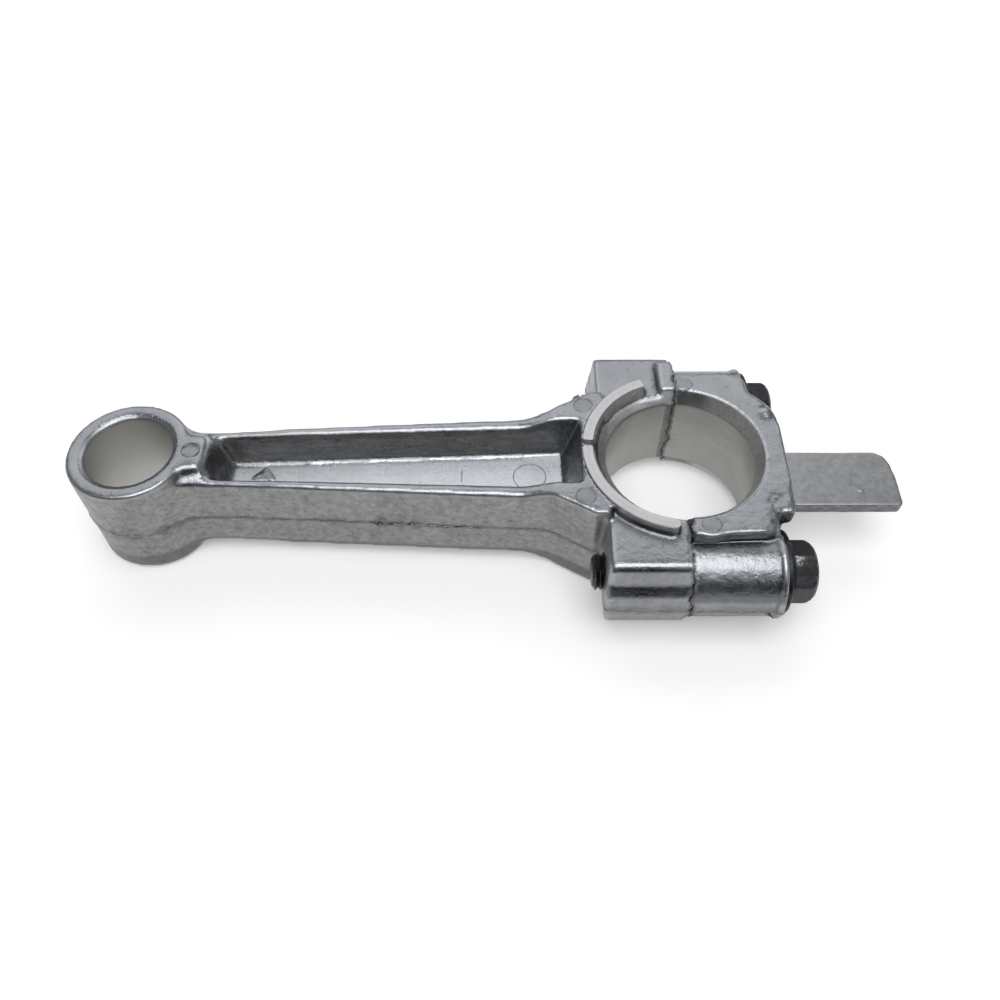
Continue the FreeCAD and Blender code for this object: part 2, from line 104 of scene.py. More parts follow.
# Zones of the casting: where a mask starts, is full, starts to fade and has ended.
BEAM_X = (-98.0, -94.0, -32.0, -26.0)
POCKET_END_X = (-98.0, -94.0, -82.0, -76.0)
CORNER_Y = (-20.0, -19.0, -9.0, -7.5)
REAR_Y = (8.0, 10.0, 22.5, 24.0)
CRUMPLE_X = (12.5, 15.5, 20.5, 22.0)
CRUMPLE_Y = (-19.5, -17.0, -11.5, -9.0)
RIDGE_LUMPS_X = (-62.5, -59.5, -53.0, -49.0)
BEAD_LUMPS_X = (-61.5, -58.0, -53.0, -50.0)
STITCHES_X = (-54.0, -52.0, -40.0, -36.0)
# Turned profile of a bolt's flange and head: place over the seat, radius.
HEAD_START = 1.9
HEAD_CORNER = 5.9
HEAD_PROFILE = (
    (0.0, 7.55), (0.12, 7.8), (0.3, 7.85), (0.75, 7.85), (0.92, 7.75), (1.0, 7.5), (1.25, 7.0),
    (1.6, 6.4), (1.85, 6.02), (1.95, 6.6), (2.6, 6.6), (3.2, 6.6), (3.8, 6.6), (4.3, 6.4),
    (4.95, 5.98), (5.4, 5.72), (5.8, 5.4), (6.15, 4.98), (6.4, 4.5), (6.54, 4.0), (6.6, 3.3))
THREAD_DEPTH = 0.55
# How far each bolt's head is turned, in degrees.
BOLT_TURNS = {"front": 4.0, "rear": 21.0}
# Pale spot on the front bolt's head: a painted glint.
PAINTED_GLINT_PLACE = (SEATS["front"] + 2.6, SIDES["front"] * BOLT_OFFSET - 1.0, 5.1)
# Thrust ribs: start and end about the crank bore in degrees, and how round the two ends are.
RIB_ARCS = {"rear": (110.5, 174.0, (0.35, 0.45)), "front": (178.6, 262.6, (0.45, 1.0))}
# Spans of the parting seams along x, on each body.
SEAM_SPANS = {"rod": ((-96.5, -17.5), (-16.5, -0.6)), "cap": ((0.6, 14.4),)}
# Thorn of flash at the cap's front boss: its root and its point.
THORN = ((14.0, -28.4, -0.9), (15.3, -29.5, -1.5))
# Upper face of the beam's web, with a chip (place, size, height, turn) and a tick across it.
WEB_TOP = 3.0
CHIP = ((-81.6, 0.4, WEB_TOP), 2.9, 0.55, 0.45)
TICK_X = -42.3
TICK_Y = (-1.2, 1.6)
# Ding on the dipper: place, radius, half width, height, turn and share of a circle.
DING = ((35.4, -2.1, 2.5), 1.1, 0.32, 0.13, 3.9, 0.36)
# Bare steel where the black oxide is worn through on edges, and pale steel for the painted glint.
WORN_STEEL = (0.16, 0.16, 0.165)
PAINTED_GLINT_STEEL = (0.55, 0.54, 0.52)
# Studio: lights as name, place, target, size in metres and power in watts; the camera's lens
# and sensor in millimetres, its place in millimetres, and its pitch, roll and yaw in degrees.
LIGHTS = (
    ("overhead", (0.0, -0.22, 0.8), (-0.03, 0, 0), (0.7, 0.6), 4.2),
    ("backdrop", (-0.1, 0.6, 0.62), (-0.03, 0, 0), (1.2, 0.6), 2.5),
    ("fill", (0.35, -0.5, 0.3), (-0.03, 0, 0), (0.4, 0.3), 0.4),
)
CAMERA_LENS = 33.53
CAMERA_SENSOR = 36.0
CAMERA_PLACE = (-32.18, -113.77, 147.77)
CAMERA_ANGLES = (53.2527, -1.145, -1.3374)
# Floor's gap under the rod and half its side; the flag and the wall, all in millimetres.
FLOOR_GAP = 0.02
FLOOR_REACH = 3500.0
FLAG_FRONT = -260.0
FLAG_REACH = 700.0
FLAG_TOP = 180.0
WALL_RADIUS = 3400.0
WALL_TOP = 3000.0
WALL_SIDES = 64
# Ejector pin marks: centre on the face, radius and depth.
ROD_MARKS = (
    ((-18.84, -11.23, 11.6), 1.85, 0.0),
    ((-18.35, 11.23, 11.6), 1.85, 0.0),
    ((-93.9, 0.0, 11.55), 1.75, 0.25),
    ((-28.9, 0.0, 3.0), 3.26, 0.05),
    ((-93.9, 0.0, -11.55), 1.75, 0.25),
    ((-28.9, 0.0, -3.0), 3.26, 0.05),
)
CAP_MARKS = (
    ((3.42, -17.24, 11.2), 1.8, 0.0),
    ((2.04, 17.24, 11.2), 1.8, 0.0),
)


# ------------------------------------------------------------------ sizes and colours

class RodSizes(bpy.types.PropertyGroup):
    """Sizes of the cast skins, the seams and the bolts."""

    rod_cell: FloatProperty(
        name="Rod cell", description="Mesh cell of the rod's skin", default=0.44 * MM,
        unit="LENGTH", precision=5)
    cap_cell: FloatProperty(
        name="Cap cell", description="Mesh cell of the cap's skin", default=0.275 * MM,
        unit="LENGTH", precision=5)
    edge_passes: IntProperty(
        name="Edge passes", description="Smoothing passes that round the cast edges", default=7)
    wave_height: FloatProperty(
        name="Wave height", description="Height of the waviness of the cast skin",
        default=0.035 * MM, unit="LENGTH", precision=5)
    split_height: FloatProperty(
        name="Split height", description="Height of the cracked joint's relief",
        default=0.6 * MM, unit="LENGTH", precision=5)
    split_gap: FloatProperty(
        name="Split gap", description="How far each half stands back at the joint",
        default=0.08 * MM, unit="LENGTH", precision=5)
    seam_height: FloatProperty(
        name="Seam height", description="Height of the flash on the parting line",
        default=0.16 * MM, unit="LENGTH", precision=5)
    thread_pitch: FloatProperty(
        name="Thread pitch", description="Pitch of the cap bolts", default=1.0 * MM,
        unit="LENGTH", precision=5)
    thread_length: FloatProperty(
        name="Thread length", description="Threaded length of the cap bolts", default=17.0 * MM,
        unit="LENGTH", precision=5)
    bolt_radius: FloatProperty(
        name="Bolt radius", description="Shank radius of the cap bolts", default=3.5 * MM,
        unit="LENGTH", precision=5)
    bolt_length: FloatProperty(
        name="Bolt length", description="Length of the cap bolts under the flange",
        default=34.6 * MM, unit="LENGTH", precision=5)
    hex_flats: FloatProperty(
        name="Across flats", description="Size of the bolt heads across flats",
        default=10.3 * MM, unit="LENGTH", precision=5)


class RodColours(bpy.types.PropertyGroup):
    """Colours of the metal and of the floor."""

    cast_light: FloatVectorProperty(
        name="Cast, light", description="Clean cast aluminium", subtype="COLOR",
        default=(0.34, 0.357, 0.38), min=0, max=1)
    cast_dark: FloatVectorProperty(
        name="Cast, dark", description="Stained cast aluminium", subtype="COLOR",
        default=(0.222, 0.231, 0.245), min=0, max=1)
    # Darker colour of the upright walls, a painted shade on the sides; the pocket's drawn walls use
    # it too.
    cast_side: FloatVectorProperty(
        name="Cast, side", description="Drafted side walls of the casting", subtype="COLOR",
        default=(0.275, 0.272, 0.267), min=0, max=1)
    bored: FloatVectorProperty(
        name="Bored wall", description="Bored aluminium", subtype="COLOR",
        default=(0.372, 0.369, 0.35), min=0, max=1)
    reamed: FloatVectorProperty(
        name="Reamed wall", description="Reamed wall of the small end", subtype="COLOR",
        default=(0.6, 0.595, 0.578), min=0, max=1)
    faced: FloatVectorProperty(
        name="Faced rib", description="Machined face of the thrust rib", subtype="COLOR",
        default=(0.62, 0.62, 0.63), min=0, max=1)
    black: FloatVectorProperty(
        name="Black oxide", description="Black oxide on the cap bolts", subtype="COLOR",
        default=(0.018, 0.019, 0.021), min=0, max=1)
    floor: FloatVectorProperty(
        name="Floor", description="Studio floor", subtype="COLOR",
        default=(0.93, 0.93, 0.93), min=0, max=1)


def sizes():
    """The size settings of the current scene."""
    return bpy.context.scene.rod_sizes


def colours():
    """The colour settings of the current scene."""
    return bpy.context.scene.rod_colours


def in_mm(length):
    """A length property in millimetres."""
    return length / MM


# ------------------------------------------------------------------ arrays and meshes

def value_noise(points, seed):
    """Smooth noise from -1 to 1 for an array of points.

    Every corner of the unit cell around a point has a hashed random value; the eight values
    are blended with the weights 3t^2 - 2t^3 of the point's place in its cell.
    """
    cell = np.floor(points).astype(np.int64)
    part = points - cell
    part = part * part * (3 - 2 * part)
    total = np.zeros(len(points))
    for corner in itertools.product((0, 1), repeat=3):
        key = (cell + np.array(corner)) @ np.array([73856093, 19349663, 83492791]) + seed * 7919
        key = (key ^ (key >> 13)) * 1274126177 & 0xFFFFFFFF
        key = (key ^ (key >> 16)) * 2246822519 & 0xFFFFFFFF
        weight = np.where(np.array(corner) == 1, part, 1 - part).prod(axis=1)
        total += weight * (key / 2147483648.0 - 1.0)
    return total


def ramp(values, low, high):
    """0 below low, 1 above high and 3t^2 - 2t^3 between."""
    part = np.clip((values - low) / (high - low), 0, 1)
    return part * part * (3 - 2 * part)


def window(values, zone):
    """1 inside a zone and 0 outside: up over its first two values, down over its last two."""
    start, full, fade, end = zone
    return ramp(values, start, full) * (1 - ramp(values, fade, end))


def grid_faces(rows, columns, ring=False):
    """Corner indices of the quads of a grid that closes along its columns; ring closes its rows."""
    row = np.arange(rows if ring else rows - 1)[:, None]
    column = np.arange(columns)[None, :]
    below = (row + 1) % rows
    after = (column + 1) % columns
    corners = (row * columns + column, row * columns + after,
               below * columns + after, below * columns + column)
    return np.stack(np.broadcast_arrays(*corners), axis=-1).reshape(-1, 4)


def closed_grid(grid, ring=False):
    """Points, quads and triangles of a closed surface from rows of points.

    Every row closes round. The last row runs on into the first for a ring; otherwise a fan
    about its middle closes each end. The faces are turned so that they enclose a volume.
    """
    rows, columns = grid.shape[:2]
    points = grid.reshape(-1, 3)
    quads = grid_faces(rows, columns, ring)
    fans = np.empty((0, 3), int)
    if not ring:
        first = np.arange(columns)
        after = (first + 1) % columns
        last = (rows - 1) * columns
        pole = rows * columns
        fans = np.concatenate([
            np.column_stack([np.full(columns, pole), first[after], first]),
            np.column_stack([np.full(columns, pole + 1), last + first, last + after])])
        points = np.concatenate([points, grid[[0, -1]].mean(axis=1)])
    solid = np.concatenate([quads[:, [0, 1, 2]], quads[:, [0, 2, 3]], fans])
    a, b, c = (points[solid[:, corner]] - points.mean(axis=0) for corner in range(3))
    if (a * np.cross(b, c)).sum() < 0:
        quads, fans = quads[:, ::-1], fans[:, ::-1]
    return points, quads, fans


def joined(parts):
    """One set of points, quads and triangles from several."""
    starts = np.cumsum([0] + [len(points) for points, _, _ in parts[:-1]])
    return (np.concatenate([points for points, _, _ in parts]),
            np.concatenate([quads + start for (_, quads, _), start in zip(parts, starts)]),
            np.concatenate([fans + start for (_, _, fans), start in zip(parts, starts)]))


def new_piece(name, points, quads, triangles=None, materials=(), smooth_angle=None):
    """Object at the origin from millimetre points, quads and optional triangles."""
    mesh = bpy.data.meshes.new(name)
    triangles = np.empty((0, 3), int) if triangles is None else triangles
    mesh.vertices.add(len(points))
    mesh.vertices.foreach_set("co", (points * MM).astype(np.float32).ravel())
    loops = np.concatenate([quads.ravel(), triangles.ravel()])
    sides = np.concatenate([np.full(len(quads), 4), np.full(len(triangles), 3)])
    mesh.loops.add(len(loops))
    mesh.loops.foreach_set("vertex_index", loops.astype(np.int32))
    mesh.polygons.add(len(sides))
    mesh.polygons.foreach_set("loop_start", np.concatenate([[0], sides.cumsum()[:-1]]))
    mesh.polygons.foreach_set("use_smooth", np.ones(len(sides), bool))
    mesh.update(calc_edges=True)
    mesh.validate()
    if smooth_angle is not None:
        mesh.set_sharp_from_angle(angle=smooth_angle)
    for material in materials:
        mesh.materials.append(material)
    piece = bpy.data.objects.new(name, mesh)
    bpy.context.scene.collection.objects.link(piece)
    return piece


def vectors(collection, field, count=3):
    """One field of a mesh collection as an array with a row for each item."""
    values = np.empty(len(collection) * count)
    collection.foreach_get(field, values)
    return values.reshape(-1, count)


def even_skin(node, cell):
    """Points, quads and edges of an even skin over a CAD node, in millimetres.

    A joined copy of the node's triangles is measured as a distance field on cubic cells of
    the given size, and the field's zero surface is returned.
    """
    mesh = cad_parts[node].data.copy()
    work = bmesh.new()
    work.from_mesh(mesh)
    bmesh.ops.remove_doubles(work, verts=work.verts, dist=1e-7)
    work.to_mesh(mesh)
    work.free()
    mesh.transform(Matrix.Scale(1 / MM, 4))
    helper = bpy.data.objects.new("helper", mesh)
    bpy.context.scene.collection.objects.link(helper)
    cells = helper.modifiers.new("Cells", "REMESH")
    cells.mode = "VOXEL"
    cells.voxel_size = cell
    depsgraph = bpy.context.evaluated_depsgraph_get()
    skin = bpy.data.meshes.new_from_object(helper.evaluated_get(depsgraph))
    bpy.data.objects.remove(helper)
    bpy.data.meshes.remove(mesh)
    points = vectors(skin.vertices, "co")
    edges = vectors(skin.edges, "vertices", 2).astype(int)
    sides = vectors(skin.polygons, "loop_total", 1).astype(int).ravel()
    loops = vectors(skin.loops, "vertex_index", 1).astype(int).ravel()
    bpy.data.meshes.remove(skin)
    if not (sides == 4).all():
        raise RuntimeError("the skin of %s is not all quads" % node)
    return points, loops.reshape(-1, 4), edges


def relaxed(points, edges, passes, share=0.5):
    """Every pass moves each point by a share of the way to the mean of its neighbours."""
    count = np.bincount(edges.ravel(), minlength=len(points))[:, None]
    for _ in range(passes):
        mean = np.stack([
            np.bincount(edges[:, 0], points[edges[:, 1], axis], minlength=len(points))
            + np.bincount(edges[:, 1], points[edges[:, 0], axis], minlength=len(points))
            for axis in range(3)], axis=1) / count
        points = points + share * (mean - points)
    return points


def point_normals(points, quads):
    """Unit normals at the points: the sum of the cross products of the quads' diagonals."""
    across = np.cross(points[quads[:, 2]] - points[quads[:, 0]],
                      points[quads[:, 3]] - points[quads[:, 1]])
    total = np.stack([
        sum(np.bincount(quads[:, corner], across[:, axis], minlength=len(points))
            for corner in range(4)) for axis in range(3)], axis=1)
    return total / np.maximum(np.linalg.norm(total, axis=1, keepdims=True), 1e-12)


def true_bore(points, centre_x, radius, half_length):
    """Put points that lie close to a bore's wall exactly on its cylinder."""
    offset = points[:, :2] - (centre_x, 0.0)
    distance = np.hypot(offset[:, 0], offset[:, 1])
    near = (abs(distance - radius) < 0.3) & (abs(points[:, 2]) < half_length)
    scale = np.where(near, radius / distance, 1.0)[:, None]
    return np.column_stack([offset * scale + (centre_x, 0.0), points[:, 2]])


def split_relief(points, height, gap):
    """Cracked joint face: x is shifted by noise of y and z that fades out 1.6 mm from x = 0.

    Noise of three cell sizes gives the steps, and each half stands back by the gap.
    """
    flat = points * (0.0, 1.0, 1.0)
    relief = (0.7 * value_noise(flat * 0.45, 3) + 0.45 * value_noise(flat * 1.2, 4)
              + 0.3 * value_noise(flat * 2.6, 5))
    near = 1 - ramp(abs(points[:, 0]), 0.3, 1.6)
    shift = (relief * height + gap * np.sign(points[:, 0].mean())) * near
    return points + np.outer(shift, (1, 0, 0))


def cast_waves(points, normals, height):
    """Waviness of the mould: noise of two cell sizes along the normals."""
    waves = value_noise(points * 0.16, 11) + 0.5 * value_noise(points * 0.55, 12)
    return points + normals * (height * waves)[:, None]


def store(piece, **fields):
    """Keep arrays with one value for each point as attributes for the material."""
    for name, values in fields.items():
        kept = piece.data.attributes.new(name, "FLOAT", "POINT")
        kept.data.foreach_set("value", np.clip(values, 0, 1).astype(np.float32))


def roundness(points, edges, normals, passes=2):
    """Mean curvature in 1/mm, positive on an edge and negative in a corner.

    A point's height over the mean of its neighbours, times four, over the mean square of the
    distance to them; smoothed a little.
    """
    count = np.bincount(edges.ravel(), minlength=len(points))
    reach = ((points[edges[:, 0]] - points[edges[:, 1]]) ** 2).sum(axis=1)
    square = sum(np.bincount(edges[:, side], reach, minlength=len(points)) for side in (0, 1))
    height = ((points - relaxed(points, edges, 1, 1.0)) * normals).sum(axis=1)
    curve = (4 * height * count / square)[:, None] * np.ones(3)
    return relaxed(curve, edges, passes)[:, 0]


# ------------------------------------------------------------------ cast skins

def from_crank(points):
    """Distance of points from the crank bore's axis."""
    return np.hypot(points[:, 0], points[:, 1])


def from_wrist(points):
    """Distance of points from the wrist pin bore's axis."""
    return np.hypot(points[:, 0] + CENTRES, points[:, 1])


def machined(points):
    """1 on points that a cutter has left sharp, 0 on cast skin."""
    bores = (from_crank(points) < CRANK_RADIUS + 1.7) | (from_wrist(points) < WRIST_RADIUS + 0.8)
    joint = abs(points[:, 0]) < 0.5
    return (bores | joint).astype(float)


def true_walls(points):
    """Bored walls and the joint face, put exactly on their cylinders and plane."""
    points = true_bore(points, 0.0, CRANK_RADIUS, CRANK_EDGE)
    points = true_bore(points, -CENTRES, WRIST_RADIUS, WRIST_EDGE)
    joint = np.where(abs(points[:, 0]) < 0.28, 0.0, points[:, 0])
    return np.column_stack([joint, points[:, 1:]])


def under_ribs(points):
    """The skin under the thrust ribs, lowered so that the machined ribs stand in for it."""
    crank, height = from_crank(points), abs(points[:, 2])
    covered = (crank > RIB_INNER - 0.1) & (crank < RIB_OUTER + 0.1) & (points[:, 0] < -1.5)
    level = np.where((points[:, 1] > 0.2) & (points[:, 1] < 2.1), 10.7, 11.45)
    low = np.where(covered & (height > level), level * np.sign(points[:, 2]), points[:, 2])
    return np.column_stack([points[:, :2], low])


def flared_bosses(points):
    """Sides of the rod's bosses: steep above and below, with a flare between them.

    The even draft from the top edge out to the parting line is replaced by a broken line: the
    share of the draft's width is read from a table of heights, and y moves by the difference.
    """
    height = np.clip(abs(points[:, 2]), 0, BOSS_EDGE)
    top = np.where(points[:, 1] < 0, BOSS_TOPS["front"], BOSS_TOPS["rear"])
    width = BOSS_FOOT - top
    even = 1 - height / BOSS_EDGE
    flared = np.interp(height, FLARE_HEIGHTS, FLARE_SHARES)
    weight = np.clip(
        (abs(points[:, 1]) - BOSS_ROOT) / (top + width * even - BOSS_ROOT), 0, 1)
    here = (points[:, 0] > -BOSS_LENGTH) & (points[:, 0] <= 0)
    out = width * (flared - even) * weight * here
    return points + np.outer(out, (0, 1, 0)) * np.sign(points[:, 1])[:, None]


def lapped_plate(points):
    """Front edge of the cap's plates, moved out over the boss, with a lobe at the pin mark.

    The move is a constant plus a bell curve of x about the pin mark.
    """
    lobe = np.exp(-((points[:, 0] - CAP_MARKS[0][0][0]) / LOBE_RADIUS) ** 2)
    near = ramp(-points[:, 1], 15.5, 17.8) * ramp(abs(points[:, 2]), 7.9, 9.4)
    near = near * (points[:, 0] > 0) * (1 - ramp(points[:, 0], 13.0, 15.0))
    return points - np.outer((LAP + LOBE * lobe) * near, (0, 1, 0))


def rear_bump(points):
    """Low bump on the cap's rear shoulder: a bell curve of the distance from its centre."""
    distance = np.hypot(points[:, 0] - BUMP_CENTRE[0], points[:, 1] - BUMP_CENTRE[1])
    lift = BUMP_HEIGHT * np.exp(-(distance / BUMP_RADIUS) ** 2) * (abs(points[:, 2]) > 9)
    return points + np.outer(lift * np.sign(points[:, 2]), (0, 0, 1))


def softness(points):
    """Where the mould left rounder corners: beam rims, pocket end, cap corner and rear."""
    x, y = points[:, 0], points[:, 1]
    narrow = 1 - ramp(abs(y), 11, 12)
    beam = window(x, BEAM_X) * narrow
    end = window(x, POCKET_END_X) * narrow
    foot = beam * (abs(points[:, 2]) < 5)
    corner = ramp(x, 12.5, 14.0) * window(y, CORNER_Y)
    rear = ramp(x, 10.5, 12.5) * window(y, REAR_Y)
    return np.maximum.reduce([0.35 * beam, 0.8 * foot, end, corner, 0.5 * rear])


def crumpled(points, normals):
    """Cap corner beside the dipper's front root, crumpled by noise along the normals.

    The second result is the share of the crumpling at each point.
    """
    near = window(points[:, 0], CRUMPLE_X) * window(points[:, 1], CRUMPLE_Y)
    fold = value_noise(points * 0.6, 31) + 0.5 * value_noise(points * 1.5, 32) - 0.4
    return points + normals * (0.16 * near * fold)[:, None], near


def flash_ridge(points, normals, height):
    """Thin raised line left at the parting line of the mould, on the walls that stand up.

    The height falls off evenly over the ridge's reach from the line, which wanders by noise,
    and is uneven along it; lumps stand on the beam, the small end and the bosses. The second
    result is painted shade beside the line, wider at the lumps.
    """
    line = SEAM_Z + 0.25 * value_noise(points * (0.2, 0.2, 0.0), 21)
    near = np.clip(1 - abs(points[:, 2] - line) / RIDGE_REACH, 0, 1)
    upright = ramp(1 - abs(normals[:, 2]), 0.75, 0.95)
    along = points * (1.0, 1.0, 0.0)
    uneven = 0.55 + 0.45 * value_noise(along * 1.3, 22) + 0.4 * value_noise(along * 0.3, 23)
    lumps = 1.9 * window(points[:, 0], RIDGE_LUMPS_X) + 1.2 * ramp(-points[:, 0], 94, 99)
    lumps = lumps * np.clip(value_noise(along * 0.8, 24) + 0.45, 0, 1)
    boss = 1.2 * ramp(abs(points[:, 1]), 24, 27)
    lift = height * near * upright * np.clip(uneven + lumps + boss, 0, 3)
    outside = (from_crank(points) > CRANK_RADIUS + 1) & (from_wrist(points) > WRIST_RADIUS + 1)
    # Painted shade beside the parting line, wider at the lumps.
    painted_seam_shade = np.clip(1.3 - abs(points[:, 2] - line) / (0.6 + 0.9 * lumps), 0, 1)
    return points + normals * (lift * outside)[:, None], painted_seam_shade * upright * outside


def pressed_circle(points, place, radius, depth):
    """Ejector pin mark: points near its rim go onto the rim, and those inside are sunk."""
    offset = points - np.array(place)
    flat = np.hypot(offset[:, 0], offset[:, 1])
    level = abs(offset[:, 2]) < 0.6
    rim = (abs(flat - radius) < 0.2) & level
    scale = np.where(rim, radius / np.maximum(flat, 0.01), 1.0)
    inside = (flat < radius + 0.05) & level & ~rim
    moved = np.column_stack([
        place[0] + offset[:, 0] * scale, place[1] + offset[:, 1] * scale,
        points[:, 2] - np.where(inside, depth, 0.0) * np.sign(place[2])])
    return moved, inside | rim


def bore_fields(points):
    """Masks of the machined walls and of the joint.

    Both bores are bored and the small one is reamed as well. The mouth of the crank bore
    is faced all round the rod's half; on the cap's half its share fades by the angle round the
    bore, a painted sheen.
    The joint is torn close to x = 0, with a weaker strip beside it in the rod's bore.
    """
    x = points[:, 0]
    crank = from_crank(points)
    bored = (crank < CRANK_RADIUS + 0.02) | (from_wrist(points) < WRIST_RADIUS + 0.05)
    around = np.degrees(np.arctan2(abs(points[:, 1]), x))
    # Painted sheen: the mouth's share fades by the angle round the cap's bore.
    painted_sheen = np.where(around > 90, 1.0, 0.1 + 0.8 * (1 - ramp(around, 58, 72)))
    mouth = painted_sheen * (crank < 15.95) * (abs(points[:, 2]) > CRANK_EDGE + 0.05) * ~bored
    strip = ramp(x, -1.45, -1.25) * (x < 0) * bored
    torn = np.maximum(1 - ramp(abs(x), 0.25, 0.7), 0.6 * strip)
    return {"bored": bored, "reamed": bored & (x < -90), "mouth": mouth, "torn": torn}


def wall_fields(points, normals):
    """Masks of the cast walls, by how steep they stand and where.

    The outer walls are upright, less so on the bosses and always on the dipper; the upright
    mask gives them a darker colour as painted shade. The pocket's own walls are drawn instead.
    Painted light lies on the pocket's floor, growing along x, and on its end walls.
    """
    x, y, slope = points[:, 0], abs(points[:, 1]), abs(normals[:, 2])
    # The upright mask darkens the walls' colour as painted shade and makes them rougher.
    upright = (1 - ramp(slope, 0.25, 0.7)) * (1 - 0.5 * ramp(y, 18.0, 21.0))
    upright = np.maximum(upright, 0.5 * ramp(x, 19.0, 23.0))
    across = abs(normals[:, 0]) > 0.6
    inner = (normals[:, 1] * points[:, 1] < 0) | across
    inner &= (x > -95) & (x < -17) & (y < 9)
    upright = np.maximum(np.where(inner, 0.0, upright), (x > 19.5) & (slope < 0.6))
    level = (abs(points[:, 2]) < 3.25) & (slope > 0.9) & (y < 7) & (x < -20)
    # Painted light on the pocket's floor, growing along x, and on its end walls.
    painted_light = np.maximum(level * ramp(x, -110, -60), np.where(x > -50, 1.0, 0.6) * (inner & across))
    return {"upright": upright, "floor": painted_light, "drawn": inner * (1 - ramp(slope, 0.4, 0.9))}


def painted_shade_fields(points, normals, curve, folded, painted_seam_shade):
    """Masks of painted shade: along the seam, on walls, in corners and in dark bands.

    Painted shade beside the seam is joined by darkening of the dipper's sides and of the foot
    of the bosses, and by painted shade on the cap's rear flank, the step beside the plates and
    the cap's front corner. The second mask is painted shade in the hollow corners and the
    folds, a painted dark reflection band on each boss side, the front corner, and a painted
    shadow along the low outer edge.
    """
    x, y, height = points[:, 0], points[:, 1], abs(points[:, 2])
    side = abs(normals[:, 2]) < 0.6
    boss = ramp(abs(y), 18.0, 21.0)
    # Painted shade on the cap's rear flank.
    flank = ramp(x, 15.5, 17.5) * ramp(y, 6, 9) * ramp(normals[:, 0], 0.2, 0.6)
    foot = boss * (1 - ramp(abs(points[:, 2] - SEAM_Z), 0.8, 2.4))
    # Painted shade on the step beside the plates.
    step = (x > 0) & (x < 15) & (abs(y) > 16) & (abs(y) < 20)
    step &= (height > 7.6) & (abs(normals[:, 2]) < 0.55)
    # Painted shade on the cap's front corner wall.
    corner = ramp(x, 15.2, 16.0) * (y < -8.5) * (y > -19) * side
    # Painted dark reflection band on each boss side.
    band = boss * (1 - ramp(abs(height - np.where(x > 0, 3.2, 4.2)), 0.6, 1.7))
    # Painted shadow on the beam's lower sides.
    low_edge = ramp(-points[:, 2], 7.2, 8.2) * (abs(normals[:, 1]) > 0.3) * (abs(y) < 15)
    # The dipper's sides and the bosses' foot are darkened; the rest is painted shade.
    seam_and_wall_shade = [painted_seam_shade, (x > 19.5) & side, flank, 0.6 * foot, 0.9 * step, corner]
    crevices = [ramp(-curve, 0.08, 0.6), 0.15 * folded, 0.9 * band, 0.5 * corner,
                0.9 * low_edge]
    return {"seam": np.maximum.reduce(seam_and_wall_shade), "crevice": np.maximum.reduce(crevices)}


def finished_skin(name, node, body, cell, marks):
    """Skin of one casting: even cells, soft cast edges, true machined walls, marks and seam."""
    points, quads, edges = even_skin(node, in_mm(cell))
    share = 0.5 - 0.46 * machined(points)[:, None]
    points = relaxed(points, edges, sizes().edge_passes, share)
    points = relaxed(points, edges, SOFT_PASSES, share * softness(points)[:, None])
    points = lapped_plate(rear_bump(flared_bosses(under_ribs(true_walls(points)))))
    normals = point_normals(points, quads)
    curve = roundness(points, edges, normals)
    cut = machined(points)
    points = np.where(cut[:, None] > 0.5, points,
                      cast_waves(points, normals, in_mm(sizes().wave_height)))
    points, painted_seam_shade = flash_ridge(points, normals, in_mm(sizes().seam_height))
    points, folded = crumpled(points, normals)
    pin = np.zeros(len(points), bool)
    for place, radius, depth in marks:
        points, inside = pressed_circle(points, place, radius, depth)
        pin |= inside
    split = split_relief(points, in_mm(sizes().split_height), in_mm(sizes().split_gap))
    piece = new_piece(name, split, quads, materials=[bpy.data.materials["aluminium_as_cast"]],
                      smooth_angle=math.radians(62))
    # Masks for the colour: painted highlight on edges, painted light in the pocket, painted shade
    # in hollows and along the seam, darker upright walls as painted shade, and the skin's own marks
    # and machined walls.
    store(piece, edge=ramp(curve, 0.12, 0.7), pin=pin,
          cast=(1 - cut) * (1 - 0.6 * ramp(points[:, 0], 18, 24)),
          **bore_fields(points), **wall_fields(points, normals),
          **painted_shade_fields(points, normals, curve, folded, painted_seam_shade))
    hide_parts(node)
    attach(piece, body)
    print("%s: %d quads" % (name, len(quads)))


# ------------------------------------------------------------------ cap bolts

def hexagon(angle, flats, turned):
    """Radius of a hexagon at an angle: half its flats over the cosine from the nearest flat."""
    sixth = math.pi / 3
    nearest = (angle - turned + sixth / 2) % sixth - sixth / 2
    return flats / 2 / np.cos(nearest)


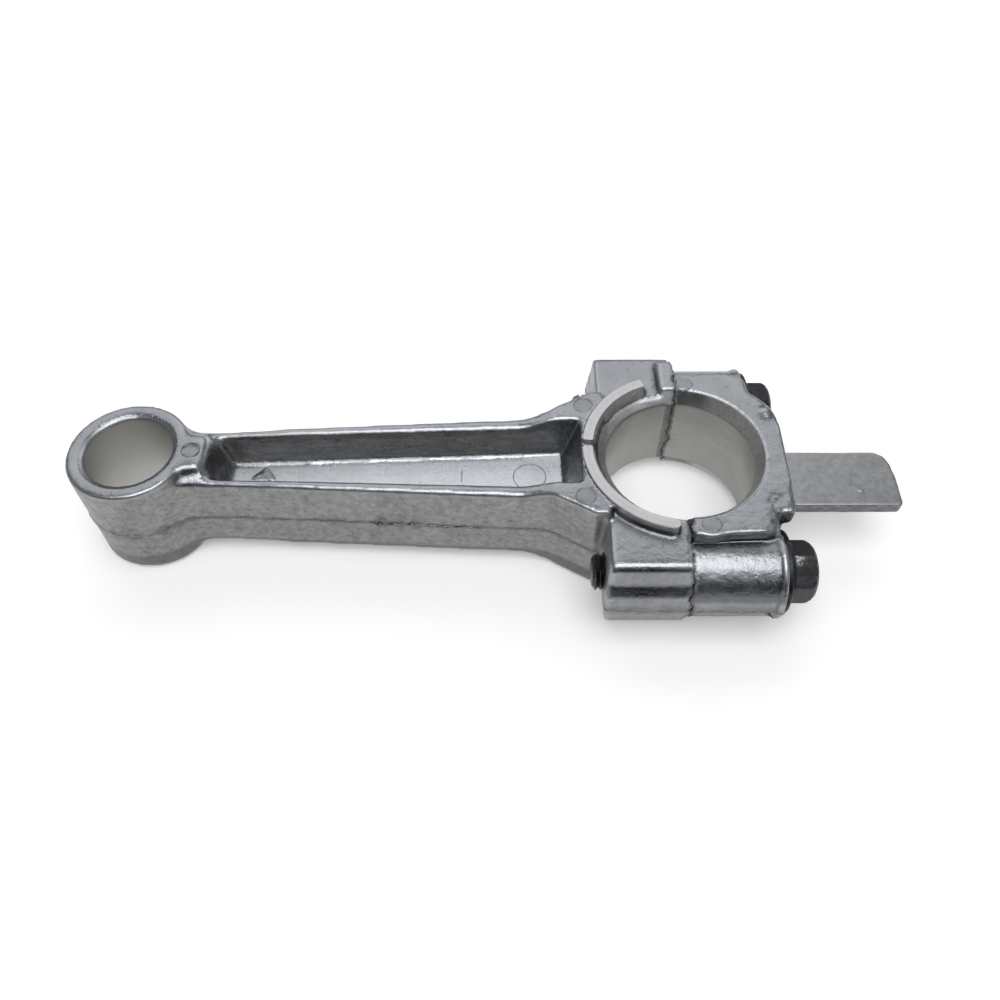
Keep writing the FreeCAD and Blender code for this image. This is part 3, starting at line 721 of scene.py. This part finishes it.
def bolt_surface(seat, side, turned):
    """Points and faces of one flanged hexagon bolt with its axis along x.

    Radius as a function of the place x along the bolt and the angle round it: a turned
    profile, less the thread's depth times a triangle wave of x / pitch - angle / turn, and
    no more than the hexagon with its corners turned off on the head.
    """
    pitch = in_mm(sizes().thread_pitch)
    shank = in_mm(sizes().bolt_radius)
    tip = -in_mm(sizes().bolt_length)
    thread_end = tip + in_mm(sizes().thread_length)
    columns = 96
    turns = np.arange(tip + 0.7, thread_end, pitch / 10)
    profile = np.concatenate([
        [(tip, 2.3), (tip + 0.05, 2.6), (tip + 0.35, 3.0)],
        np.column_stack([turns, np.full(len(turns), shank)]),
        [(thread_end + 0.4, shank), (-1.0, shank), (0.0, shank)],
        HEAD_PROFILE])
    along, turned_radius = profile[:, :1], profile[:, 1:]
    angle = np.arange(columns)[None, :] * 2 * math.pi / columns
    wave = abs(((along / pitch - angle / (2 * math.pi)) % 1.0) * 2 - 1)
    threaded = ramp(along, tip + 0.2, tip + 1.2) * (1 - ramp(along, thread_end - 1, thread_end))
    radius = turned_radius - THREAD_DEPTH * np.clip(wave * 1.25 - 0.1, 0, 1) * threaded
    outline = np.minimum(hexagon(angle, in_mm(sizes().hex_flats), turned), HEAD_CORNER)
    radius = np.where(along > HEAD_START, np.minimum(radius, outline), radius)
    return closed_grid(np.stack([
        seat + along + 0 * angle, side * BOLT_OFFSET + radius * np.cos(angle),
        radius * np.sin(angle)], axis=-1))


# ------------------------------------------------------------------ ribs, beads and chips

def rib_surface(start, end, blunt, face):
    """Machined thrust rib: its section carried along an arc about the crank bore.

    The section is a band with broken corners. Near each end its half width falls off as the
    root of rho^2 - (rho - distance)^2, with rho the radius that the end is rounded to. The
    foot of the inner wall leans in by the batter.
    """
    middle = (RIB_INNER + RIB_OUTER) / 2
    half = (RIB_OUTER - RIB_INNER) / 2 + 0.05
    length = math.radians(end - start) * middle
    place = np.concatenate([
        length * np.linspace(0, 0.03, 14, endpoint=False),
        length * np.linspace(0.03, 0.97, 90, endpoint=False),
        length * np.linspace(0.97, 1.0, 15)])
    to_start = np.minimum(place / blunt[0], 1)
    to_end = np.minimum((length - place) / blunt[1], 1)
    loss = (blunt[0] * (1 - np.sqrt(1 - (1 - to_start) ** 2))
            + blunt[1] * (1 - np.sqrt(1 - (1 - to_end) ** 2)))
    width = np.maximum(half - loss, 0.02)[:, None]
    across = np.array([-1, -1, -0.9, -0.5, 0, 0.5, 0.9, 1, 1])[None, :]
    drop = np.array([3.07, 0.1, 0, 0, 0, 0, 0, 0.1, 3.07])[None, :]
    batter = np.array([-1.1, 0, 0, 0, 0, 0, 0, 0, 0])[None, :]
    angle = math.radians(start) + (place / middle)[:, None]
    radius = middle + across * width + batter * width / half
    return closed_grid(np.stack([radius * np.cos(angle), radius * np.sin(angle),
                                 face * (RIB_TOP - drop) + 0 * angle], axis=-1))


def bead_surface(path, out, width, height, ring=False):
    """Raised line of metal: a half-round section carried along a path on a surface.

    A point is the path's point, plus the half width times cosine across the path, plus the
    height times sine along the outward direction.
    """
    ahead = np.roll(path, -1, axis=0) - np.roll(path, 1, axis=0)
    if not ring:
        ahead = np.gradient(path, axis=0)
    across = np.cross(ahead, out)
    across = across / np.maximum(np.linalg.norm(across, axis=1, keepdims=True), 1e-9)
    turn = (np.arange(8) * math.pi / 4)[None, :, None]
    grid = (path[:, None] + across[:, None] * np.cos(turn) * np.reshape(width, (-1, 1, 1))
            + out[:, None] * np.sin(turn) * np.reshape(height, (-1, 1, 1)))
    return closed_grid(grid, ring)


def circle_bead(place, radius, width, height, seed, share=1.0):
    """Uneven bead round an ejector pin mark, or an arc of it that thins out at its ends."""
    count = 56
    turn = np.arange(count) * 2 * math.pi * share / count + seed
    path = np.column_stack([np.cos(turn), np.sin(turn), 0 * turn]) * radius + place
    rough = 0.75 + 0.35 * value_noise(path * 1.7, 40)
    if share < 1:
        rough = rough * np.sin(np.linspace(0.05, math.pi - 0.05, count))
    out = np.zeros((count, 3))
    out[:, 2] = np.sign(place[2]) or 1.0
    return bead_surface(path, out, width * rough, height * rough, ring=share == 1.0)


def seam_bead(skin, x_low, x_high, side, seed):
    """Flash along the parting line of one side of a skin between two places along x.

    The skin's points close to the line are sorted along x and the bead's path is read from
    them; its height and half width are uneven by noise, with lumps on the beam and bosses and
    a row of short stitches beside the beam's lumps.
    """
    points, normals = skin
    band = (abs(points[:, 2] - SEAM_Z) < 0.3) & (points[:, 1] * side > 4.5)
    band &= (normals[:, 1] * side > 0.3) & (abs(normals[:, 2]) < 0.5)
    band = points[band]
    band = band[band[:, 0].argsort()]
    x = np.arange(x_low, x_high, 0.3)
    y = np.interp(x, band[:, 0], band[:, 1])
    y = np.convolve(np.pad(y, 3, mode="edge"), np.ones(7) / 7, mode="valid")
    wander = np.column_stack([x, 0 * x, 0 * x + seed])
    z = SEAM_Z + 0.22 * value_noise(wander * 0.25, 41) + 0.16 * value_noise(wander * 1.9, 42)
    path = np.column_stack([x, y, z])
    lumps = np.clip(value_noise(wander * 1.1, 43) * 1.5 + 0.45, 0, 1)
    lumps = lumps * (window(x, BEAD_LUMPS_X) + ramp(abs(y), 24, 27))
    stitches = window(x, STITCHES_X) * np.clip(value_noise(wander * 2.6, 45) * 1.6 + 0.3, 0, 1)
    rough = 0.6 + 0.35 * value_noise(wander * 3.1, 44) + 3.2 * lumps + 1.5 * stitches
    slope = np.gradient(y, x)
    out = np.column_stack([-slope * side, side + 0 * x, 0 * x])
    out = out / np.linalg.norm(out, axis=1, keepdims=True)
    ends = np.sin(np.linspace(0.02, math.pi - 0.02, len(x))) ** 0.3
    scale = in_mm(sizes().seam_height) * np.maximum(rough, 0.2) * ends
    return bead_surface(path, out, 0.9 * scale, scale)


def flash_tip(root, tip):
    """Thorn of flash: a bead on a straight path that narrows to a point."""
    share = np.linspace(0, 1, 10)
    path = np.outer(1 - share, root) + np.outer(share, tip)
    out = np.tile((0.0, 0.0, 1.0), (10, 1))
    return bead_surface(path, out, 0.45 * (1.02 - share), 0.16 * (1.02 - share))


def chip_surface(place, size, height, turned):
    """Crumb of cast metal with a three-cornered outline that rises to an off-centre ridge.

    The radius follows a triangle's outline with its corners cut, stretched along x. The height
    falls as one less the square of the share of that radius, rises along x, and has noise.
    """
    share = np.linspace(0, 1, 12)[1:, None]
    angle = (np.arange(48) * 2 * math.pi / 48)[None, :]
    third = 2 * math.pi / 3
    outline = size / 2 / np.cos((angle - turned + third / 2) % third - third / 2)
    outline = np.minimum(outline, size * 0.85) * (1 + 0.05 * np.sin(2 * angle + 1))
    flat = share * outline
    x, y = flat * np.cos(angle) * 1.25, flat * np.sin(angle)
    top = height * (1 - share ** 2) * (0.75 + 0.45 * x / size) + 0 * angle
    spot = np.stack([place[0] + x, place[1] + y, place[2] + top - 0.05], axis=-1)
    lift = value_noise(spot.reshape(-1, 3) * 1.4, 46).reshape(top.shape) * height * 0.3
    spot[..., 2] += lift * (1 - share)
    return closed_grid(spot)


# ------------------------------------------------------------------ materials

class Recipe:
    """Nodes of one material; each call adds a node and gives back its output."""

    def __init__(self, name, **constants):
        """New material with shader constants and places in millimetres."""
        self.material = bpy.data.materials.new(name)
        self.material.use_nodes = True
        self.tree = self.material.node_tree
        self.shader = self.tree.nodes["Principled BSDF"]
        for socket, value in constants.items():
            self.shader.inputs[socket.replace("_", " ")].default_value = value
        object_place = self.tree.nodes.new("ShaderNodeTexCoord").outputs["Object"]
        self.place = self.add("ShaderNodeMapping", "Vector", Vector=object_place,
                              Scale=(1 / MM,) * 3)

    def add(self, kind, output, settings=None, **inputs):
        """A node of a kind with settings and inputs; sockets are linked, values are set."""
        node = self.tree.nodes.new(kind)
        for key, value in (settings or {}).items():
            setattr(node, key, value)
        for key, value in inputs.items():
            socket = node.inputs[int(key[1:]) if key[0] == "i" else key.replace("_", " ")]
            self.feed(socket, value)
        return node.outputs[output]

    def feed(self, socket, value):
        """Link a socket to another or set its value."""
        if isinstance(value, bpy.types.NodeSocket):
            self.tree.links.new(value, socket)
        else:
            socket.default_value = value

    def noise(self, scale, detail=3.0, roughness=0.55, stretch=(1, 1, 1)):
        """Fractal noise from 0 to 1, with its scale in cells for each millimetre."""
        place = self.add("ShaderNodeMapping", "Vector", Vector=self.place, Scale=stretch)
        return self.add("ShaderNodeTexNoise", 0, Vector=place, Scale=scale, Detail=detail,
                        Roughness=roughness)

    def span(self, value, low, high, to_low=0.0, to_high=1.0):
        """A value's range from low to high, mapped to another range and held there."""
        return self.add("ShaderNodeMapRange", 0, i0=value, i1=low, i2=high, i3=to_low,
                        i4=to_high)

    def sum(self, *values):
        """The sum of values."""
        total = values[0]
        for value in values[1:]:
            total = self.add("ShaderNodeMath", 0, {"operation": "ADD"}, i0=total, i1=value)
        return total

    def times(self, *values):
        """The product of values."""
        total = values[0]
        for value in values[1:]:
            total = self.add("ShaderNodeMath", 0, {"operation": "MULTIPLY"}, i0=total, i1=value)
        return total

    def blend(self, share, first, second):
        """The first colour turned into the second by a share."""
        first, second = (tuple(colour) + (1.0,) if not isinstance(colour, bpy.types.NodeSocket)
                         else colour for colour in (first, second))
        return self.add("ShaderNodeMix", 2, {"data_type": "RGBA"}, i0=share, i6=first, i7=second)

    def field(self, name):
        """A piece's own attribute."""
        return self.add("ShaderNodeAttribute", "Fac", {"attribute_name": name})

    def relief(self, height, distance):
        """Bump of a height from 0 to 1 times a distance in millimetres."""
        bump = self.add("ShaderNodeBump", "Normal", Height=height, Distance=distance * MM)
        self.feed(self.shader.inputs["Normal"], bump)

    def finish(self, colour, roughness):
        """Link the worked-out colour and roughness."""
        self.feed(self.shader.inputs["Base Color"], colour)
        self.feed(self.shader.inputs["Roughness"], roughness)


def scaled(factor, colour):
    """A colour times a factor, with no part over 1."""
    return tuple(min(factor * part, 1.0) for part in colour)


def cast_aluminium():
    """Die casting: blotches, freckles and streaks under the masks that the skins carry.

    Convex edges take a painted highlight and the pocket's floor and end walls painted light;
    hollows, seams and low edges take painted shade, and upright walls a darker colour as painted
    shade; pits and pin marks are darker; drawn, bored and reamed walls and the mouth have own
    colours.
    """
    paint = colours()
    mix = Recipe("aluminium_as_cast", Metallic=1.0)
    blotch = mix.noise(0.14, 4.0, 0.62)
    freckle = mix.noise(1.2, 4.0, 0.7)
    grain = mix.noise(4.5, 3.0, 0.65)
    dark = scaled(0.45, paint.cast_dark)
    painted_light = scaled(1.7, paint.cast_light)
    shade = mix.sum(mix.span(blotch, 0.34, 0.68, 0.0, 0.6), mix.span(grain, 0.35, 0.65, 0.0, 0.4))
    colour = mix.blend(shade, paint.cast_dark, paint.cast_light)
    mottle = mix.noise(0.8, 5.0, 0.72, stretch=(1.0, 1.0, 1.1))
    mottle = mix.sum(mix.times(mottle, 0.75), mix.times(blotch, 0.35))
    # Upright walls take a darker colour, a painted shade, over their own mottling.
    side = mix.blend(mix.span(mottle, 0.42, 0.68), scaled(0.62, paint.cast_side),
                     scaled(1.3, paint.cast_side))
    colour = mix.blend(mix.times(mix.field("upright"), 0.85), colour, side)
    streak = mix.sum(mix.times(mix.noise(1.0, 5.0, 0.7, stretch=(0.25, 1.0, 2.2)), 0.7),
                     mix.times(mottle, 0.3))
    drawn = mix.blend(mix.span(streak, 0.4, 0.66), scaled(0.8, paint.cast_side),
                      scaled(1.55, paint.cast_side))
    colour = mix.blend(mix.times(mix.field("drawn"), 0.9), colour, drawn)
    pits = mix.span(freckle, 0.6, 0.72)
    colour = mix.blend(mix.times(pits, 0.5), colour, dark)
    # Painted highlight on convex edges.
    colour = mix.blend(mix.times(mix.field("edge"), 0.3), colour, painted_light)
    # Painted shade in hollows, folds, the boss bands and the low edges.
    colour = mix.blend(mix.times(mix.field("crevice"), 0.65), colour, dark)
    # Painted shade along the seams and on shaded walls, with the dipper's sides and the bosses'
    # foot darkened too; streaked by noise.
    painted_seam_shade = mix.span(mix.noise(0.9, 4.0, 0.7, stretch=(0.5, 0.5, 2.0)), 0.4, 0.6, 0.25, 0.9)
    colour = mix.blend(mix.times(mix.field("seam"), painted_seam_shade), colour, dark)
    colour = mix.blend(mix.times(mix.field("pin"), 0.25), colour, dark)
    rings = mix.noise(1.0, 3.0, 0.6, stretch=(0.15, 0.15, 7.0))
    wall = mix.blend(mix.span(rings, 0.35, 0.7), paint.bored, scaled(0.82, paint.bored))
    colour = mix.blend(mix.field("bored"), colour, wall)
    colour = mix.blend(mix.field("reamed"), colour, paint.reamed)
    # Painted light on the pocket's floor and end walls.
    colour = mix.blend(mix.times(mix.field("floor"), 0.7), colour, painted_light)
    # Faced colour of the mouth, faded round the cap's bore as painted sheen.
    colour = mix.blend(mix.times(mix.field("mouth"), mix.span(freckle, 0.35, 0.6, 0.55, 1.0)),
                       colour, paint.faced)
    torn = mix.times(mix.field("torn"), mix.span(mix.noise(2.4, 4.0, 0.7), 0.4, 0.6, 0.25, 0.95))
    colour = mix.blend(torn, colour, dark)
    rough = mix.sum(mix.span(blotch, 0.3, 0.7, 0.21, 0.33), mix.times(pits, 0.2),
                    mix.times(mix.field("upright"), 0.16), mix.times(mix.field("edge"), 0.06),
                    mix.times(mix.field("torn"), 0.2), mix.times(mix.field("mouth"), 0.18))
    mix.finish(colour, rough)
    cast = mix.sum(mix.times(mix.noise(0.55, 3.0, 0.6), 0.9), mix.times(freckle, 0.22),
                   mix.times(grain, 0.1))
    height = mix.sum(mix.times(cast, mix.sum(mix.times(mix.field("cast"), 0.85), 0.15)),
                     mix.times(mix.field("torn"), freckle, 1.5))
    mix.relief(height, 0.15)


def faced_aluminium():
    """Light turned face: fine rings about the crank bore over a faint haze."""
    paint = colours()
    mix = Recipe("aluminium_faced", Metallic=1.0)
    flat = mix.add("ShaderNodeMapping", "Vector", Vector=mix.place, Scale=(1, 1, 0))
    radius = mix.add("ShaderNodeVectorMath", "Value", {"operation": "LENGTH"}, i0=flat)
    rings = mix.add("ShaderNodeTexNoise", 0, {"noise_dimensions": "1D"}, W=radius, Scale=5.0,
                    Detail=3.0)
    haze = mix.noise(0.7, 4.0, 0.65)
    colour = mix.blend(mix.span(haze, 0.35, 0.7), scaled(0.84, paint.faced), paint.faced)
    mix.finish(mix.blend(mix.span(rings, 0.55, 0.75, 0.0, 0.35), colour, paint.cast_dark),
               mix.span(haze, 0.3, 0.7, 0.42, 0.55))
    mix.relief(mix.sum(rings, mix.times(haze, 0.5)), 0.02)


def black_steel():
    """Black oxide: dark grey and slightly uneven, with metal showing on worn edges and a painted
    glint on one head.
    """
    paint = colours()
    mix = Recipe("steel_black_oxide", Metallic=0.75)
    haze = mix.noise(0.8, 4.0, 0.65)
    colour = mix.blend(mix.span(haze, 0.4, 0.7), paint.black, scaled(2.6, paint.black))
    worn = mix.times(mix.field("edge"), mix.span(mix.noise(2.2, 3.0), 0.45, 0.62))
    colour = mix.blend(mix.times(worn, 0.6), colour, WORN_STEEL)
    # Painted glint: a pale spot on the front bolt's head.
    scuff = mix.times(mix.field("scuff"), mix.span(mix.noise(1.8, 4.0, 0.7), 0.45, 0.6))
    colour = mix.blend(scuff, colour, PAINTED_GLINT_STEEL)
    mix.finish(colour, mix.span(haze, 0.3, 0.7, 0.28, 0.48))
    mix.relief(mix.sum(mix.times(haze, 0.6), mix.times(mix.noise(6.0), 0.2)), 0.04)


def pale_floor():
    """Matt near-white sheet with a faint glow of its own, like a light table."""
    sheet = tuple(colours().floor) + (1.0,)
    Recipe("pale_floor", Metallic=0.0, Roughness=0.9, Base_Color=sheet, Emission_Color=sheet,
           Emission_Strength=0.28)


def pale_wall():
    """Round wall of the studio, white by its own glow alone."""
    Recipe("pale_wall", Metallic=0.0, Base_Color=(0.0, 0.0, 0.0, 1.0),
           Emission_Color=(1.0, 1.0, 1.0, 1.0), Emission_Strength=1.0)


def dark_cloth():
    """Black cloth of the flag that gives the metal something dark to reflect."""
    Recipe("dark_cloth", Metallic=0.0, Roughness=0.9, Base_Color=(0.02, 0.02, 0.02, 1.0))


# ------------------------------------------------------------------ operators

class ROD_OT_materials(bpy.types.Operator):
    """Make the cast and faced aluminium, the black oxide and the materials of the stage"""

    bl_idname = "rod.materials"
    bl_label = "Materials"
    bl_options = {"REGISTER", "UNDO"}

    def execute(self, context):
        """Every material of the scene."""
        cast_aluminium()
        faced_aluminium()
        black_steel()
        pale_floor()
        pale_wall()
        dark_cloth()
        return {"FINISHED"}


class ROD_OT_rod(bpy.types.Operator):
    """Cast skin of the rod, with its bores, ribs, seam and ejector pin marks"""

    bl_idname = "rod.rod"
    bl_label = "Rod casting"
    bl_options = {"REGISTER", "UNDO"}

    def execute(self, context):
        """The skin that stands for the CAD rod."""
        finished_skin("rod_casting", "connecting_rod", "rod", sizes().rod_cell, ROD_MARKS)
        return {"FINISHED"}


class ROD_OT_cap(bpy.types.Operator):
    """Cast skin of the bearing cap, with its dipper"""

    bl_idname = "rod.cap"
    bl_label = "Cap casting"
    bl_options = {"REGISTER", "UNDO"}

    def execute(self, context):
        """The skin that stands for the CAD cap."""
        finished_skin("cap_casting", "bearing_cap", "cap", sizes().cap_cell, CAP_MARKS)
        return {"FINISHED"}


class ROD_OT_ribs(bpy.types.Operator):
    """Machined thrust ribs round the rod's half of the crank bore, on both faces"""

    bl_idname = "rod.ribs"
    bl_label = "Thrust ribs"
    bl_options = {"REGISTER", "UNDO"}

    def execute(self, context):
        """A rear and a front rib on each face, with the notch between them."""
        for level, face in (("upper", 1.0), ("lower", -1.0)):
            for end, (start, stop, blunt) in RIB_ARCS.items():
                rib = new_piece(
                    "thrust_rib_%s_%s" % (level, end), *rib_surface(start, stop, blunt, face),
                    [bpy.data.materials["aluminium_faced"]], math.radians(30))
                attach(rib, "rod")
        return {"FINISHED"}


def cast_detail(name, parts, body, shade_share):
    """Small raised pieces of the casting that ride on a body.

    The shaded share of each takes painted shade, and the rest of it the painted highlight of an
    edge.
    """
    detail = new_piece(name, *joined(parts), [bpy.data.materials["aluminium_as_cast"]],
                       math.radians(50))
    every = np.ones(len(detail.data.vertices))
    # Painted shade and painted highlight of the detail.
    store(detail, cast=every, crevice=every * shade_share, edge=every * (1 - shade_share))
    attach(detail, body)


class ROD_OT_marks(bpy.types.Operator):
    """Rings of the ejector pins, the chip and the tick in the pocket and the ding on the dipper"""

    bl_idname = "rod.marks"
    bl_label = "Casting marks"
    bl_options = {"REGISTER", "UNDO"}

    def execute(self, context):
        """Beads and crumbs that lie on the skins."""
        rod = [circle_bead(np.array(place), radius - 0.05, 0.13, 0.09, seed)
               for seed, (place, radius, _) in enumerate(ROD_MARKS)]
        rod.append(chip_surface(*CHIP))
        tick = np.column_stack([
            np.full(12, TICK_X), np.linspace(*TICK_Y, 12), np.full(12, WEB_TOP)])
        rod.append(bead_surface(tick, np.tile((0.0, 0.0, 1.0), (12, 1)), 0.09, 0.05))
        # Pin rings, chip and tick: part painted shade, part painted highlight.
        cast_detail("rod_casting_marks", rod, "rod", 0.45)
        cap = [circle_bead(np.array(place), radius - 0.05, 0.12, 0.07, seed)
               for seed, (place, radius, _) in enumerate(CAP_MARKS)]
        cast_detail("cap_casting_marks", cap, "cap", 0.45)
        # The ding takes only the painted highlight.
        cast_detail("dipper_ding", [circle_bead(*DING)], "cap", 0.0)
        return {"FINISHED"}


class ROD_OT_seams(bpy.types.Operator):
    """Flash along the parting line of both castings"""

    bl_idname = "rod.seams"
    bl_label = "Parting seams"
    bl_options = {"REGISTER", "UNDO"}

    def execute(self, context):
        """A front and a rear seam on each casting, read from the finished skins."""
        for body, parts in SEAM_SPANS.items():
            mesh = bpy.data.objects["%s_casting" % body].data
            points = vectors(mesh.vertices, "co") / MM
            normals = vectors(mesh.vertex_normals, "vector")
            beads = [seam_bead((points, normals), low, high, side, 5.0 * side)
                     for low, high in parts for side in SIDES.values()]
            if body == "cap":
                beads.append(flash_tip(*THORN))
            # Seam beads take mostly painted shade.
            cast_detail("%s_seams" % body, beads, body, 0.9)
        return {"FINISHED"}


class ROD_OT_bolts(bpy.types.Operator):
    """Two black flanged bolts that hold the cap"""

    bl_idname = "rod.bolts"
    bl_label = "Cap bolts"
    bl_options = {"REGISTER", "UNDO"}

    def execute(self, context):
        """The threaded bolts that stand for the CAD bolts."""
        for end, turned in BOLT_TURNS.items():
            points, quads, fans = bolt_surface(SEATS[end], SIDES[end], math.radians(turned))
            bolt = new_piece("%s_bolt_black" % end, points, quads, fans,
                             [bpy.data.materials["steel_black_oxide"]], math.radians(24))
            edges = vectors(bolt.data.edges, "vertices", 2).astype(int)
            curve = roundness(points, edges, point_normals(points, quads), 1)
            # Mask of the painted glint on the front bolt's head.
            spot = points - PAINTED_GLINT_PLACE
            scuff = 1 - ramp(np.linalg.norm(spot * (0.7, 1.0, 0.7), axis=1), 0.5, 1.1)
            store(bolt, edge=ramp(curve, 0.5, 2.0), scuff=scuff)
            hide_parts("cap_bolt_%s" % end)
            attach(bolt, "%s_bolt" % end)
        return {"FINISHED"}


def soft_light(name, place, target, size, power):
    """Square soft light that faces a target."""
    lamp = bpy.data.lights.new(name, "AREA")
    lamp.shape = "RECTANGLE"
    lamp.size, lamp.size_y = size
    lamp.energy = power
    light = bpy.data.objects.new(name, lamp)
    aim = (Vector(target) - Vector(place)).to_track_quat("-Z", "Y")
    light.matrix_world = Matrix.Translation(place) @ aim.to_matrix().to_4x4()
    bpy.context.scene.collection.objects.link(light)


def studio_camera():
    """Camera above the front of the rod, level apart from a small roll."""
    pitch, roll, yaw = (math.radians(angle) for angle in CAMERA_ANGLES)
    ahead = Vector((math.sin(yaw) * math.cos(pitch), math.cos(yaw) * math.cos(pitch),
                    -math.sin(pitch)))
    level = Vector((math.cos(yaw), -math.sin(yaw), 0.0))
    above = level.cross(ahead)
    right = math.cos(roll) * level + math.sin(roll) * above
    up = math.cos(roll) * above - math.sin(roll) * level
    lens = bpy.data.cameras.new("studio_camera")
    lens.lens = CAMERA_LENS
    lens.sensor_width = CAMERA_SENSOR
    lens.clip_start = 0.005
    camera = bpy.data.objects.new("studio_camera", lens)
    place = Vector(CAMERA_PLACE) * MM
    camera.matrix_world = Matrix((
        (right.x, up.x, -ahead.x, place.x), (right.y, up.y, -ahead.y, place.y),
        (right.z, up.z, -ahead.z, place.z), (0, 0, 0, 1)))
    bpy.context.scene.collection.objects.link(camera)
    bpy.context.scene.camera = camera


def studio_floor(low):
    """Square sheet at a height, centred under the rod."""
    corners = FLOOR_REACH * np.array([(-1, -1, 0), (1, -1, 0), (1, 1, 0), (-1, 1, 0)])
    corners[:, 2] = low
    new_piece("floor", corners, np.array([[0, 1, 2, 3]]),
                       materials=[bpy.data.materials["pale_floor"]])


def dark_flag(low):
    """Upright black board in front of the rod, that only its reflections and shadow show."""
    board = np.array([(-FLAG_REACH, FLAG_FRONT, 1), (FLAG_REACH, FLAG_FRONT, 1),
                      (FLAG_REACH, FLAG_FRONT, FLAG_TOP), (-FLAG_REACH, FLAG_FRONT, FLAG_TOP)])
    flag = new_piece("dark_flag", board + (0, 0, low), np.array([[0, 1, 2, 3]]),
                     materials=[bpy.data.materials["dark_cloth"]])
    flag.visible_camera = False


def studio_wall(low):
    """Upright cylinder round the studio, that only the camera sees.

    A point is the radius times the cosine and sine of its turn, at four heights.
    """
    turn = np.arange(WALL_SIDES)[None, :] * 2 * math.pi / WALL_SIDES
    height = np.linspace(0, WALL_TOP, 4)[:, None] + low
    ring = np.stack([WALL_RADIUS * np.cos(turn) + 0 * height,
                     WALL_RADIUS * np.sin(turn) + 0 * height,
                     height + 0 * turn], axis=-1).reshape(-1, 3)
    wall = new_piece("wall", ring, grid_faces(4, WALL_SIDES)[:, ::-1],
                     materials=[bpy.data.materials["pale_wall"]])
    wall.visible_glossy = False
    wall.visible_diffuse = False
    wall.visible_shadow = False


def even_sky():
    """White sky of one strength all round."""
    world = bpy.data.worlds.new("studio")
    world.use_nodes = True
    sky = world.node_tree.nodes["Background"]
    sky.inputs["Color"].default_value = (1.0, 1.0, 1.0, 1.0)
    sky.inputs["Strength"].default_value = 0.25
    bpy.context.scene.world = world
    bpy.context.scene.view_settings.view_transform = "Standard"


class ROD_OT_stage(bpy.types.Operator):
    """Pale floor, soft studio light, a dark flag, a white wall and the camera"""

    bl_idname = "rod.stage"
    bl_label = "Stage"
    bl_options = {"REGISTER", "UNDO"}

    def execute(self, context):
        """Floor just under the lowest face, then the lights, the flag, the wall and the sky."""
        low = CAD_BOX[0][2] / MM - FLOOR_GAP
        studio_floor(low)
        for light in LIGHTS:
            soft_light(*light)
        dark_flag(low)
        studio_wall(low)
        even_sky()
        studio_camera()
        return {"FINISHED"}


MAKERS = (ROD_OT_materials, ROD_OT_rod, ROD_OT_cap, ROD_OT_ribs, ROD_OT_marks, ROD_OT_seams,
          ROD_OT_bolts, ROD_OT_stage)


class ROD_PT_build(bpy.types.Panel):
    """Lists the sizes, the colours and the steps that build the connecting rod."""

    bl_label = "Connecting rod"
    bl_idname = "ROD_PT_build"
    bl_space_type = "VIEW_3D"
    bl_region_type = "UI"
    bl_category = "Rod"

    def draw(self, context):
        """Sizes, colours and one button for each step."""
        for group in (context.scene.rod_sizes, context.scene.rod_colours):
            for key in group.bl_rna.properties.keys():
                if key not in ("rna_type", "name"):
                    self.layout.prop(group, key)
        for maker in MAKERS:
            self.layout.operator(maker.bl_idname)


CLASSES = (RodSizes, RodColours) + MAKERS + (ROD_PT_build,)


def register():
    """Register the classes and the settings."""
    for entry in CLASSES:
        bpy.utils.register_class(entry)
    bpy.types.Scene.rod_sizes = PointerProperty(type=RodSizes)
    bpy.types.Scene.rod_colours = PointerProperty(type=RodColours)


def unregister():
    """Remove the settings and the classes."""
    del bpy.types.Scene.rod_colours
    del bpy.types.Scene.rod_sizes
    for entry in reversed(CLASSES):
        bpy.utils.unregister_class(entry)


def main():
    """Build every piece in order."""
    register()
    for maker in MAKERS:
        group, step = maker.bl_idname.split(".")
        getattr(getattr(bpy.ops, group), step)()
    bpy.context.view_layer.update()


if __name__ == "__main__":
    main()
